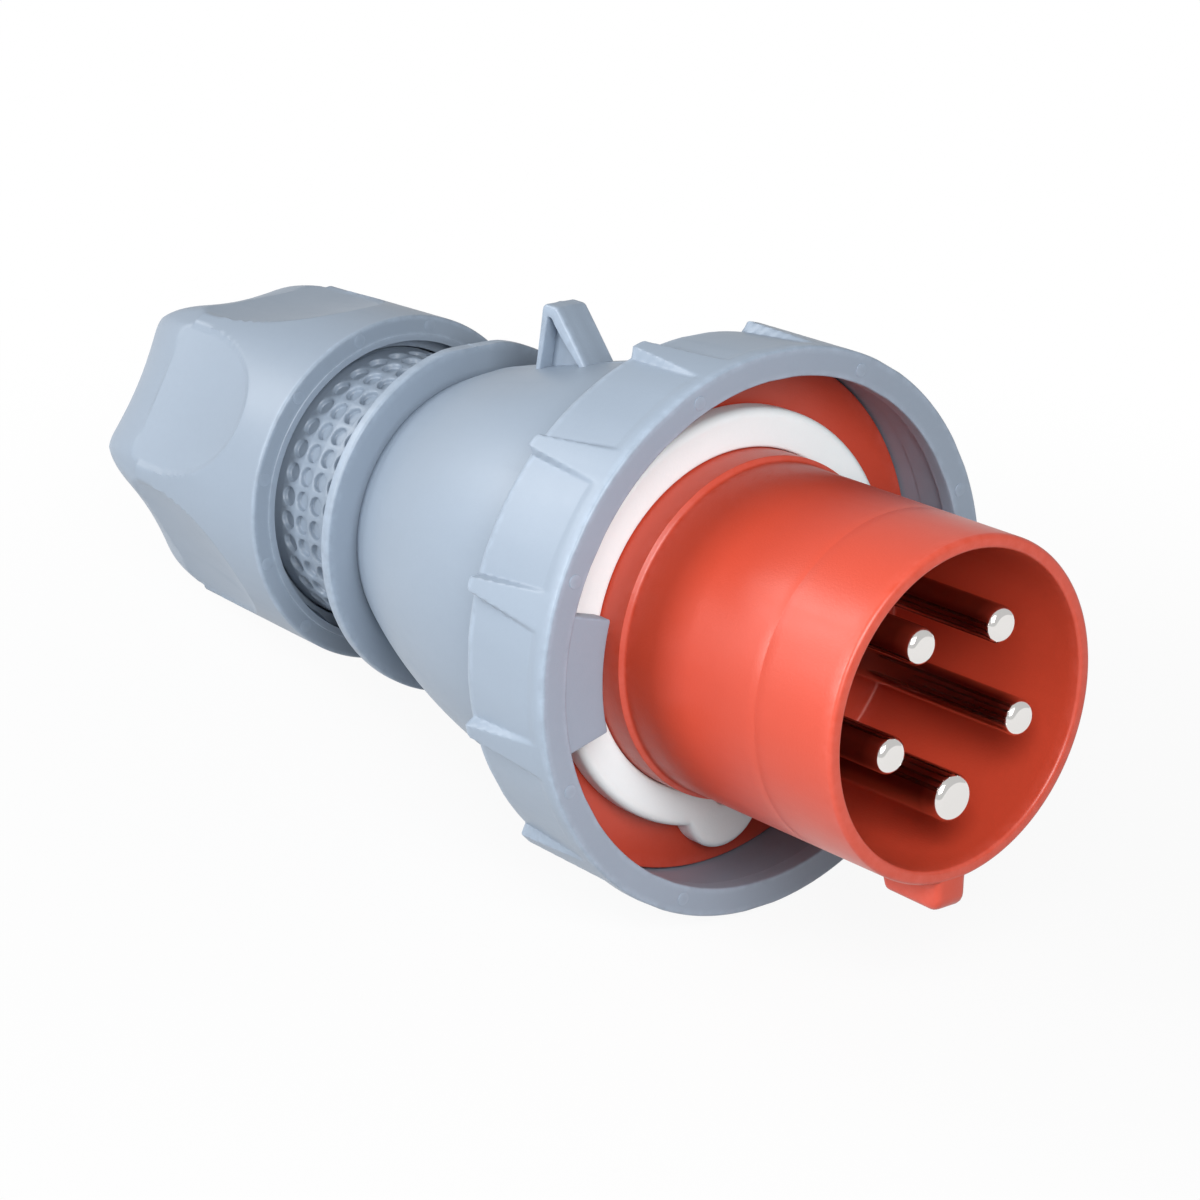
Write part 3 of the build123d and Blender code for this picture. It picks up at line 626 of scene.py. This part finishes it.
class PLUG_OT_locking_ring(bpy.types.Operator):
    """Builds the locking ring: band, tapering ribs, sunken panels, lugs and ejector marks"""

    bl_idname = "plug.locking_ring"
    bl_label = "Locking ring"

    def execute(self, context):
        sizes = context.scene.plug_sizes
        profile, worn = soft_outline(
            [
                (X_RING_FRONT, R_RING_MOUTH, 0.35), (X_RING_FRONT, R_RING, 0.6),
                (X_LIP_BACK, R_RING, 0), (X_RING_BACK, R_RING, 1.6), (X_RING_BACK, 44.0, 0.4),
                (X_WEB, 44.0, 0.4), (X_WEB, 50.0, 0.5), (X_LIP_BACK - 7.3, 50.0, 0),
                (X_LIP_BACK - 7.5, 49.75, 0), (X_LIP_BACK - 0.4, 49.6, 0.2),
                (X_LIP_BACK - 0.2, R_RING_MOUTH, 0.2),
            ],
            step=0.9,
        )
        period = TURN / 12
        near_rib = np.concatenate([np.linspace(-0.085, 0.085, 29), [-0.2, -0.16, -0.12, 0.12, 0.16, 0.2]])
        angles = np.sort(((np.arange(12)[:, None] + 0.5) * period + near_rib).ravel())
        wall = 50.4

        def panels(t, x, r):
            """Outside, the radius falls from the band to the panels except under the ribs.

            A rib's half width shrinks evenly from front to back and rounds off at its end,
            and its sides rise over half a millimetre.
            """
            outside = (x < X_LIP_BACK + 1e-6) & (r > wall)
            back = np.clip((X_LIP_BACK - x) / (X_LIP_BACK - X_RING_BACK), 0, 1)
            floor = 53.7 - 2.0 * back
            side = np.abs(from_centre(t, period / 2, period)) * 53.0
            past = np.clip((X_RING_BACK + 1.9 - x) / 1.9, 0, 1)
            half_width = (3.8 - 2.15 * back) * np.sqrt(1 - 0.75 * past**2)
            rib = 1 - smooth_step(side, half_width - 0.55, half_width + 0.35)
            rise = smooth_step(X_LIP_BACK - x, 0.0, 0.5)
            squeezed = wall + (r - wall) * (floor - wall) / (R_RING - wall)
            dropped = np.where(r > R_RING - 0.01, floor, squeezed)
            fallen = dropped + (r - dropped) * rib
            return t, x, np.where(outside, r + (fallen - r) * rise, r)

        lug = soft_outline(
            [(-49.9, 39.5, 0.5), (-49.9, 50.0, 0), (-53.9, 50.5, 0), (-53.9, 40.5, 0.4), (-52.9, 39.5, 0.4)],
            step=1.5,
        )[0]
        half_lug = math.radians(15.5)
        parts = [lathe(profile, worn, angles, panels)]
        for centre in (math.pi / 2, -math.pi / 2):
            parts.append(arc_block(lug, centre - half_lug, centre + half_lug, 0.5))
        for k in range(8):
            angle = math.radians(22.5 + 45 * k)
            parts.append(button(X_RING_FRONT, 51.0, angle, sizes.mark_width / MM / 2, 0.12))
        make_object("ring_moulding", parts, "ring", "shell plastic", ["locking_ring"])
        return {"FINISHED"}


class PLUG_OT_contact_carrier(bpy.types.Operator):
    """Builds the red sleeve with its collar, key, flange disc and skirt"""

    bl_idname = "plug.contact_carrier"
    bl_label = "Contact carrier"

    def execute(self, context):
        profile, worn = soft_outline(
            [
                (X_FLOOR, 0, 0), (X_FLOOR, R_BORE, 0.8), (0.0, R_BORE, 0.7), (0.0, R_SLEEVE, 0.9),
                (-18.8, R_SLEEVE, 0), (-19.0, R_SLEEVE - 0.04, 0), (-19.2, R_SLEEVE, 0),
                (-53.3, R_SLEEVE, 0.8), (-53.9, R_COLLAR, 0.16), (X_DISC, R_COLLAR, 0.3),
                (X_DISC, 49.65, 0.4), (X_HOUSING, 49.65, 0.2), (X_HOUSING, 37.5, 0.2),
                (X_CARRIER_BACK, 37.5, 0.4), (X_CARRIER_BACK, 34.5, 0.4), (-66.5, 34.5, 0.2),
                (-66.5, 30.5, 0.2), (X_FLOOR_BACK, 30.5, 0.2), (X_FLOOR_BACK, 0, 0),
            ],
            step=2.2,
            closed=False,
        )
        parts = [lathe(profile, worn, around(256), closed=False)]
        key = soft_outline(
            [
                (-0.15, -30.5, 0), (-0.15, -37.5, 2.6), (-14.0, -37.3, 1.6), (-16.0, -31.5, 0.6),
                (-16.2, -30.5, 0),
            ],
            step=1.2,
        )[0]
        parts.append(slab(key, 3.5, 1.4))
        boss = np.array([(-56.6, 0), (-56.6, 2.6), (-57.0, 3.0), (-64.8, 3.0), (-64.8, 0)])
        points, faces, marks = lathe(boss, np.zeros(5), around(48), closed=False)
        parts.append((points - np.array([0, 0, BOSS_FROM_AXIS]), faces, marks))
        x, half_hook = X_CARRIER_BACK, math.radians(10)
        hook = soft_outline([(x, 36, 0), (x, 38.0, 0.3), (x + 2, 38.7, 0.2), (x + 2, 36, 0)], step=1.5)[0]
        for middle in np.radians([45, 135, 225, 315]):
            parts.append(arc_block(hook, middle - half_hook, middle + half_hook, 0.2))
        make_object(
            "carrier_moulding", parts, "plug_body", "carrier plastic", ["contact_carrier"]
        )
        return {"FINISHED"}


class PLUG_OT_face_gasket(bpy.types.Operator):
    """Builds the pale gasket with the lobe and notch at its bottom"""

    bl_idname = "plug.face_gasket"
    bl_label = "Face gasket"

    def execute(self, context):
        angles = around(220, math.pi + np.linspace(-0.34, 0.34, 97))
        bottom = from_centre(angles, math.pi)

        def disc_edge(from_axis, radius):
            """The farther edge of a disc at the bottom, seen from the axis, or 0 beside it."""
            aside = from_axis * np.sin(bottom)
            edge = from_axis * np.cos(bottom) + np.sqrt(np.maximum(radius**2 - aside**2, 0))
            return np.where(np.abs(aside) < radius, edge, 0)

        outside = soft_max(np.full(len(angles), 40.1), disc_edge(36.5, 8.8), 1.2)
        inside = soft_max(np.full(len(angles), R_COLLAR + 0.1), disc_edge(BOSS_FROM_AXIS, 3.05), 0.3)
        foot = X_DISC + 0.02
        section, worn = soft_outline(
            [(X_GASKET, 0, 0.6), (X_GASKET, 6, 1.7), (foot, 6, 0.6), (foot, 0, 0.3)], step=0.7, arc=7
        )

        def rim(t, x, r):
            """The section's inner half follows the inner outline, and its outer half the outer one."""
            inner, outer = inside[:, None], outside[:, None]
            return t, x, np.where(r < 3, inner + r, outer + (r - 6))

        parts = [lathe(section, worn, angles, rim)]
        make_object(
            "gasket_ring", parts, "plug_body", "gasket rubber", ["face_gasket"], sharp=60
        )
        return {"FINISHED"}


class PLUG_OT_pins(bpy.types.Operator):
    """Builds the plated pins with their rounded ends, collars and terminal barrels"""

    bl_idname = "plug.pins"
    bl_label = "Pins"

    def execute(self, context):
        for mount in frame["record"]["mounts"]:
            name = mount["name"]
            if not name.startswith("pin_"):
                continue
            shank = mount["dims"]["r_mm"]
            node = name.replace("_contact", "")
            bore = shank + 0.5
            barrel = bore + 2.3
            seen = shank + 0.4
            profile, _ = soft_outline(
                [
                    (-0.7, 0, 0), (-0.7, seen, 1.55), (X_PIN_COLLAR, seen, 0),
                    (X_PIN_COLLAR, shank + 3.0, 0.3), (X_FLOOR_BACK, shank + 3.0, 0.3),
                    (X_FLOOR_BACK, barrel, 0.2), (X_BARREL_BACK, barrel, 0.4),
                    (X_BARREL_BACK, bore, 0.4), (-71.0, bore, 0.2), (-71.0, 0, 0),
                ],
                step=3.0,
                arc=10,
                closed=False,
            )
            # Mask: full colour on the tip, and painted shade along the shaft, where plated halves the colour.
            worn = smooth_step(profile[:, 0], -2.6, -2.1)
            points, faces, marks = lathe(profile, worn, around(72), closed=False)
            shift = np.array([0, mount["pos_m"][1] / MM, mount["pos_m"][2] / MM])
            parts = [(points + shift, faces, marks)]
            make_object(node + "_plated", parts, "plug_body", "pin nickel", [node], sharp=50)
        return {"FINISHED"}


class PLUG_OT_housing(bpy.types.Operator):
    """Builds the housing: flange, tapered body with a flatter top, fin, rear disc and dimpled neck"""

    bl_idname = "plug.housing"
    bl_label = "Housing"

    def execute(self, context):
        sizes = context.scene.plug_sizes
        seam = sizes.seam_height / MM
        body = arc_through((X_HUB_BACK, 43.3), (-112.5, 38.28), (X_REAR_DISC, 29.1), 40)
        inner = arc_through((-73.8, 39.1), (-112.5, 32.88), (X_REAR_DISC, 24.9), 16)
        front, worn_front = soft_outline(
            [
                (-73.8, 37.8, 0), (X_HOUSING, 37.8, 0.3), (X_HOUSING, R_FLANGE, 0.3),
                (X_FLANGE_BACK, R_FLANGE, 0.3), (X_FLANGE_BACK, R_HUB, 0.2),
                (X_HUB_BACK + 1.2, R_HUB, 0), (X_HUB_BACK + 0.6, R_HUB + 1.1, 0.3),
                (X_HUB_BACK, R_HUB, 0),
            ],
            step=2.0,
            arc=4,
            closed=False,
        )
        rear, worn_rear = soft_outline(
            [
                (X_REAR_DISC + 0.05, 29.2, 0.3), (X_REAR_DISC, R_REAR_DISC, 0.5),
                (X_DISC_BACK, R_REAR_DISC, 0.5), (X_DISC_BACK, R_NECK, 0.3), (X_DIMPLES, R_NECK, 0),
                (X_DIMPLES - 0.02, 27.4, 0), (X_DIMPLES_BACK + 0.02, 27.4, 0),
                (X_DIMPLES_BACK, R_NECK, 0), (-166.0, R_NECK, 0),
            ],
            step=1.5,
            arc=4,
            closed=False,
        )
        thread, worn_thread = soft_outline(
            [(-166.2, R_NECK, 0), (X_NECK_END + 0.6, R_NECK, 0)], step=0.28, closed=False
        )
        end, worn_end = soft_outline(
            [(X_NECK_END, 27.9, 0.3), (X_NECK_END, 24.0, 0.3), (X_REAR_DISC - 0.5, 24.0, 0.3)],
            step=3,
            closed=False,
        )
        inner = inner[::-1]
        profile = np.concatenate([front, body, rear, thread, end, inner])
        worn = [worn_front, 0 * body[:, 0], worn_rear, worn_thread, worn_end, 0 * inner[:, 0]]
        other, on_body, on_rear, on_thread = range(4)
        region = np.repeat([other, on_body, on_rear, on_thread, other, other], [len(part) for part in worn])
        close = np.array([0.08, 0.16, 0.26, 0.45, 0.8, 1.4]) / 38
        seams = np.concatenate([-close, [0.0], close])
        crease = np.radians(np.linspace(26, 50, 22))
        angles = around(252, np.concatenate([seams, math.pi + seams, crease, -crease]))

        def form(t, x, r):
            """Crown: the body's radius is the lesser of its round and a large tilted bar.

            Seam: a thin ridge where the two halves of the mould met, straight up and down.
            Thread: the radius falls and rises once for every pitch along and every turn round.
            """
            bar, slope, bar_x, bar_height = 52.0, math.radians(14), -97.0, -12.6
            height = bar_height + math.tan(slope) * (x - bar_x)
            crown = bar_radius(t, height, bar, slope)
            upper = np.cos(t) > 0.3
            crowned = np.where(upper, soft_min(r, crown, 0.5), r)
            r = np.where(region == on_body, crowned, r)
            flat = np.where(upper, 35.4 / np.maximum(np.cos(t), 0.3), 1e3)
            r = np.where((region == on_rear) & (r > 30), soft_min(r, flat, 0.15), r)
            ridge = seam * np.exp(-((from_centre(t, 0, math.pi) * r / 0.16) ** 2))
            r = r + np.where((region == on_body) | ((region == on_rear) & (r > R_NECK + 0.1)), ridge, 0)
            start = smooth_step(-x, 166.3, 167.8) * (1 - smooth_step(-x, 177.5, 179.2))
            pitch, depth = 4.0, 1.1
            wave = 0.5 - 0.5 * np.cos(TURN * x / pitch + t)
            r = r - np.where(region == on_thread, depth * start * np.clip(1.7 * wave - 0.35, 0, 1), 0)
            return t, x, r

        parts = [lathe(profile, np.concatenate(worn), angles, form), *self.fin(seam)]
        make_object("housing_moulding", parts, "plug_body", "shell plastic", ["housing"])
        parts = [self.dimples(sizes.dimple_width / MM / 2, sizes.dimple_depth / MM)]
        make_object("neck_dimples", parts, "plug_body", "shell plastic", sharp=80)
        return {"FINISHED"}

    @staticmethod
    def fin(seam):
        """The fin: a rim carried round a three-sided outline, and a thin web inside it."""
        front = arc_through((-108.6, 49.8), (-103.4, 44.2), (-96.8, 36.6), 14)
        front = front[2:-1]
        corners = [(-112.6, 49.8, 1.1), (-108.6, 49.8, 1.3)]
        corners += [(x, z, 0) for x, z in front]
        corners += [(-96.8, 34.8, 0), (-115.4, 31.0, 0), (-114.9, 34.0, 0)]
        outline = soft_outline(corners, step=1.0, arc=6)[0]
        hole_corners = [(-111.1, 47.5, 0.5), (-109.9, 47.4, 0.8)]
        hole_front = arc_through((-109.0, 46.2), (-105.0, 42.4), (-99.6, 38.6), 8)
        hole_corners += [(x, z, 0) for x, z in hole_front[:-1]]
        hole_corners += [(-99.8, 38.3, 0.4), (-113.6, 34.3, 0.4)]
        hole = soft_outline(hole_corners, step=1.0, arc=5)[0]
        count = 160

        def even(line):
            """The same outline at equal steps, from its highest point on."""
            line = np.roll(line, -int(np.argmax(line[:, 1] - 0.2 * line[:, 0])), 0)
            loop = np.concatenate([line, line[:1]])
            run = np.concatenate([[0], np.cumsum(np.linalg.norm(np.diff(loop, axis=0), axis=1))])
            at = np.linspace(0, run[-1], count, endpoint=False)
            return np.stack([np.interp(at, run, loop[:, k]) for k in range(2)], 1)

        outer, inner = even(outline), even(hole)
        across, worn = soft_outline(
            [(0, -3.7, 0.35), (0, 3.7, 0.35), (2, 3.7, 0.55), (2, 0, 0), (2, -3.7, 0.55)], step=0.8, arc=4
        )
        seam_side = np.exp(-((across[:, 1] / 0.2) ** 2)) * (across[:, 0] > 1.99)
        move = across[:, 0][None, :, None]
        inward = (outer - inner) / np.linalg.norm(outer - inner, axis=1, keepdims=True)
        wide = np.linalg.norm(outer - inner, axis=1)[:, None, None]
        near_outer = outer[:, None] - inward[:, None] * (2 - move)
        near_inner = inner[:, None] + inward[:, None] * move
        flat = np.where(move > 1, near_outer, near_inner)
        flat = np.where(wide > 2, flat, inner[:, None] + (outer - inner)[:, None] * move / 2)
        flat = flat + inward[:, None] * (seam * seam_side)[None, :, None]
        y = np.broadcast_to(across[:, 1][None], flat.shape[:2])
        points = np.stack([flat[..., 0], y, flat[..., 1]], -1).reshape(-1, 3)
        faces = outward(points, grid_faces(count, len(across)))
        marks = np.broadcast_to(worn, flat.shape[:2]).reshape(-1)
        web = slab(inset(inner, -0.4), 0.8, 0.05, 0.0)
        return [(points, faces, marks), web]

    @staticmethod
    def dimples(radius, depth):
        """A sleeve of square cells round the neck, each with a round dimple sunk in its middle.

        A cell is a grid of rings: the outermost follows the cell's square edge, the rest
        are circles that step down into the dimple, and the last is its centre.
        """
        turn = np.radians(np.arange(24) * 15.0)
        circle = np.stack([np.cos(turn), np.sin(turn)], 1)
        square = circle / np.abs(circle).max(1, keepdims=True) / 2
        rows, columns, pitch = 4, 36, 4.5
        step, first = TURN / columns, math.radians(-2.5)
        rings = [(radius + 0.14, 0.0), (radius + 0.03, 0.06), (radius - 0.06, 0.5), (radius - 0.16, 0.92)]
        rings += [(radius * 0.7, 1.0), (radius * 0.3, 1.0), (0.0, 1.0)]
        flat = np.stack([square * (step * R_NECK, pitch)] + [circle * r for r, _ in rings])
        deep = np.array([0.0] + [d for _, d in rings]) * depth
        across = (first + np.arange(columns) * step)[:, None, None]
        along = (X_DIMPLES - (np.arange(rows) + 0.5) * pitch)[:, None, None, None]
        across, along = across + flat[..., 0] / R_NECK, along + flat[..., 1]
        t, x, r = np.broadcast_arrays(across, along, R_NECK - deep[:, None])
        cells = np.stack([x, r * np.sin(t), r * np.cos(t)], -1).reshape(-1, 3)
        starts = np.arange(rows * columns)[:, None, None] * flat[..., 0].size
        cell_faces = (grid_faces(*flat.shape[:2], False, True) + starts).reshape(-1, 4)
        edge = np.tan(np.radians(np.arange(-45, 45, 15))) / 2
        t = (first + (np.arange(columns)[:, None] + edge) * step).reshape(-1, 1)
        x = np.array([X_DIMPLES, X_DIMPLES, X_DIMPLES_BACK, X_DIMPLES_BACK])
        r = np.array([R_NECK, 27.0, 27.0, R_NECK])
        inner = np.stack(np.broadcast_arrays(x, r * np.sin(t), r * np.cos(t)), -1).reshape(-1, 3)
        inner_faces = grid_faces(len(t), len(x), True, False)
        points = np.concatenate([cells, inner])
        faces = np.concatenate([cell_faces, inner_faces[:, ::-1] + len(cells)])
        return points, outward(points, faces), np.zeros(len(points))


class PLUG_OT_gland_nut(bpy.types.Operator):
    """Builds the gland nut: rim, thumb scallops, six-sided cap and the lugs in its mouth"""

    bl_idname = "plug.gland_nut"
    bl_label = "Gland nut"

    def execute(self, context):
        wall, worn_wall = soft_outline(
            [
                (X_NUT, R_NUT_MOUTH, 0.3), (X_NUT, 32.3, 0.05), (X_NUT - 0.12, 32.45, 0.05),
                (X_NUT - 0.12, R_NUT, 0.6), (X_NUT_CAP, R_NUT_CAP, 0),
            ],
            step=0.45,
            closed=False,
        )
        turn = np.linspace(0, math.pi / 2, 40)[1:]
        back_x = X_NUT_CAP + (X_NUT_BACK - X_NUT_CAP) * np.sin(turn)
        back = np.stack([back_x, R_NUT_BACK + (R_NUT_CAP - R_NUT_BACK) * np.cos(turn)], 1)
        inside, worn_inside = soft_outline(
            [
                (X_NUT_BACK, 16.6, 0), (X_NUT_BACK, R_ENTRY, 0.8), (-224.8, R_ENTRY, 0.3),
                (-211.4, 22.0, 0.2), (-211.4, 28.1, 0.3), (-183.8, 28.8, 0),
                (X_NUT_THREAD, 28.8, 0.3), (X_NUT_THREAD, R_NUT_MOUTH, 0.2),
            ],
            step=3.0,
            closed=False,
        )
        profile = np.concatenate([wall, back, inside])
        worn = np.concatenate([worn_wall, np.zeros(len(back)), worn_inside])
        period = TURN / 6
        rest = math.radians(-2.0)
        bar_x, bar_r, bar_from_axis = -207.0, 119.0, 150.08
        flat_back = 15.3

        def form(t, x, r):
            """Grip: the radius is the lesser of the turned wall and a round bar that lies across it.

            Where the bar cuts, the surface steps down a little more, which draws the scallop's edge.
            Knuckles: behind the grip the turned wall bends in to the back as a rounded square does.
            Cap: flats, a little hollow across, lean in and bend to the back; the lesser of both is kept.
            Mouth: the wall stands in where a lug is.
            """
            lean = 1 / np.cos(from_centre(t, rest, period))
            bar = (bar_from_axis - np.sqrt(bar_r**2 - (np.maximum(x, X_NUT_CAP) - bar_x) ** 2)) * lean
            sunk = r - bar
            grip = r - np.maximum(sunk, 0) - 0.45 * smooth_step(sunk, -0.02, 0.22)
            behind = np.clip((bar_x - x) / (bar_x - X_NUT_BACK), 0, 1)
            knuckle = R_NUT_BACK + (16.9 - 3.4 * behind) * (1 - behind**3.2) ** (1 / 3.2)
            past = np.clip((X_NUT_CAP - x) / (X_NUT_CAP - X_NUT_BACK), 0, 1)
            flat = (flat_back + (14.9 - 4.0 * past) * (1 - past**2.6) ** (1 / 2.6)) * lean**1.4
            ahead = np.minimum(grip, np.where(x < bar_x + 0.1, knuckle, 1e3))
            turned = np.where(x > X_NUT_CAP - 1e-4, ahead, soft_min(knuckle, flat, 1.4))
            end = soft_min(np.full_like(r, R_NUT_BACK), flat_back * lean**1.4, 1.4)
            face = R_ENTRY + (r - R_ENTRY) / (R_NUT_BACK - R_ENTRY) * (end - R_ENTRY)
            on_face = (x < X_NUT_BACK + 1e-3) & (r > R_ENTRY)
            outer = np.arange(len(profile)) < len(wall) + len(back)
            r = np.where(outer, turned, np.where(on_face, face, r))
            lug = np.abs(from_centre(t, rest - math.radians(12), period)) * 30
            mouth = (x > X_NUT_THREAD - 0.1) & (x < X_NUT - 0.5) & (np.abs(r - 30.85) < 0.35)
            return t, x, np.where(mouth, r - 1.1 * (1 - smooth_step(lug, 6.0, 6.35)), r)

        parts = [lathe(profile, worn, around(360), form)]
        for k in range(12):
            parts.append(button(X_NUT - 0.12, 34.1, math.radians(-17 + 30 * k), 1.35, 0.06))
        make_object("nut_moulding", parts, "nut", "shell plastic", ["gland_nut"])
        return {"FINISHED"}


class PLUG_OT_stage(bpy.types.Operator):
    """Builds the pale floor, the soft studio light and the camera"""

    bl_idname = "plug.stage"
    bl_label = "Stage"

    def execute(self, context):
        scene = context.scene
        self.floor()
        self.world(scene)
        target = Vector((-0.11, 0, 0))
        front = Vector((-0.03, 0, 0))
        self.lamp("key", target, (-0.24, -0.88, 0.34), 0.95, 0.36, 6.0)
        self.lamp("fill", front, (0.62, -0.46, 0.46), 0.42, 0.22, 2.0)
        self.lamp("back", target, (-0.80, -0.5, 0.6), 1.1, 0.4, 4.0)
        camera = bpy.data.objects.new("camera", bpy.data.cameras.new("camera"))
        scene.collection.objects.link(camera)
        camera.data.sensor_width = 36.0
        camera.data.lens = 111.0
        camera.data.clip_start, camera.data.clip_end = 0.01, 50.0
        right, up, back = (0.6417, 0.7666, 0.0241), (-0.2593, 0.1872, 0.9475), (0.7218, -0.6142, 0.3189)
        turned = Matrix((right, up, back)).transposed()
        camera.matrix_world = Matrix.Translation((0.4166, -0.4378, 0.2209)) @ turned.to_4x4()
        scene.camera = camera
        scene.view_settings.view_transform = "Standard"
        return {"FINISHED"}

    @staticmethod
    def floor():
        """A square floor that leans so that the ring's ribs and the nut's ridges both touch it."""
        mesh = bpy.data.meshes.new("floor")
        low_front, low_back = Vector((-0.0730, 0, -0.0522)), Vector((-0.2123, 0, -0.0306))
        along = (low_front - low_back).normalized()
        middle = (low_front + low_back) / 2
        across = Vector((0, 1, 0))
        half = 4.0
        signs = ((-1, -1), (1, -1), (1, 1), (-1, 1))
        corners = [middle + along * a * half + across * b * half for a, b in signs]
        mesh.from_pydata([tuple(c) for c in corners], [], [(0, 1, 2, 3)])
        mesh.update()
        floor = bpy.data.objects.new("floor", mesh)
        bpy.context.scene.collection.objects.link(floor)
        tree, shader = new_material("pale floor")
        shader.inputs["Base Color"].default_value = (0.6, 0.6, 0.6, 1)
        shader.inputs["Roughness"].default_value = 0.9
        shader.inputs["Specular IOR Level"].default_value = 0.0
        glow = add_node(tree, "Emission", Color=(1, 1, 1, 1))
        rays = add_node(tree, "LightPath").outputs
        seen = math_node(tree, "MAXIMUM", rays["Is Camera Ray"], rays["Is Glossy Ray"])
        seen = math_node(tree, "MAXIMUM", seen, rays["Is Transmission Ray"])
        far = add_node(tree, "VectorMath")
        far.operation = "LENGTH"
        wire(tree, add_node(tree, "TexCoord").outputs["Object"], far.inputs[0])
        fade = add_node(tree, "MapRange", From_Min=0.12, From_Max=0.35, To_Min=0.93, To_Max=1.0)
        fade.interpolation_type = "SMOOTHSTEP"
        wire(tree, far.outputs["Value"], fade.inputs["Value"])
        share = math_node(tree, "MULTIPLY", seen, fade.outputs["Result"])
        mix_shaders(tree, share, shader, glow, "Material Output")
        mesh.materials.append(bpy.data.materials["pale floor"])

    @staticmethod
    def world(scene):
        """White to the camera and in reflections, and a soft even light on the object."""
        scene.world = bpy.data.worlds.new("studio")
        scene.world.use_nodes = True
        tree = scene.world.node_tree
        light = tree.nodes["Background"]
        light.inputs["Color"].default_value = (0.93, 0.96, 1.0, 1)
        light.inputs["Strength"].default_value = 0.18
        seen_as = add_node(tree, "Background", Color=(1, 1, 1, 1), Strength=1.0)
        rays = add_node(tree, "LightPath").outputs
        seen = math_node(tree, "MAXIMUM", rays["Is Camera Ray"], rays["Is Transmission Ray"])
        seen = math_node(tree, "MAXIMUM", seen, math_node(tree, "MULTIPLY", rays["Is Glossy Ray"], 0.6))
        mix_shaders(tree, seen, light, seen_as, "World Output")

    @staticmethod
    def lamp(name, target, direction, distance, size, power):
        """A square soft light, turned towards the target."""
        light = bpy.data.lights.new(name, "AREA")
        light.energy = power
        light.size = size
        lamp = bpy.data.objects.new(name, light)
        bpy.context.scene.collection.objects.link(lamp)
        lamp.location = target + Vector(direction).normalized() * distance
        lamp.rotation_euler = (target - lamp.location).to_track_quat("-Z", "Y").to_euler()


class PLUG_PT_panel(bpy.types.Panel):
    """Lists the plug's sizes, colours and builders"""

    bl_label = "Pin and sleeve plug"
    bl_idname = "PLUG_PT_panel"
    bl_space_type = "VIEW_3D"
    bl_region_type = "UI"
    bl_category = "Plug"

    def draw(self, context):
        for group in (context.scene.plug_sizes, context.scene.plug_colours):
            for name in group.__annotations__:
                self.layout.prop(group, name)
        for builder in BUILDERS:
            self.layout.operator(builder.bl_idname)


BUILDERS = (
    PLUG_OT_finishes,
    PLUG_OT_locking_ring,
    PLUG_OT_contact_carrier,
    PLUG_OT_face_gasket,
    PLUG_OT_pins,
    PLUG_OT_housing,
    PLUG_OT_gland_nut,
    PLUG_OT_stage,
)
CLASSES = (PlugSizes, PlugColours, *BUILDERS, PLUG_PT_panel)


def register():
    """Registers the classes and hangs the two groups of properties on the scene."""
    for cls in CLASSES:
        bpy.utils.register_class(cls)
    bpy.types.Scene.plug_sizes = PointerProperty(type=PlugSizes)
    bpy.types.Scene.plug_colours = PointerProperty(type=PlugColours)


def unregister():
    """Undoes register."""
    del bpy.types.Scene.plug_colours
    del bpy.types.Scene.plug_sizes
    for cls in reversed(CLASSES):
        bpy.utils.unregister_class(cls)


def main():
    """Registers the add-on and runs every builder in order."""
    register()
    bpy.ops.plug.finishes()
    bpy.ops.plug.locking_ring()
    bpy.ops.plug.contact_carrier()
    bpy.ops.plug.face_gasket()
    bpy.ops.plug.pins()
    bpy.ops.plug.housing()
    bpy.ops.plug.gland_nut()
    bpy.ops.plug.stage()


if __name__ == "__main__":
    main()
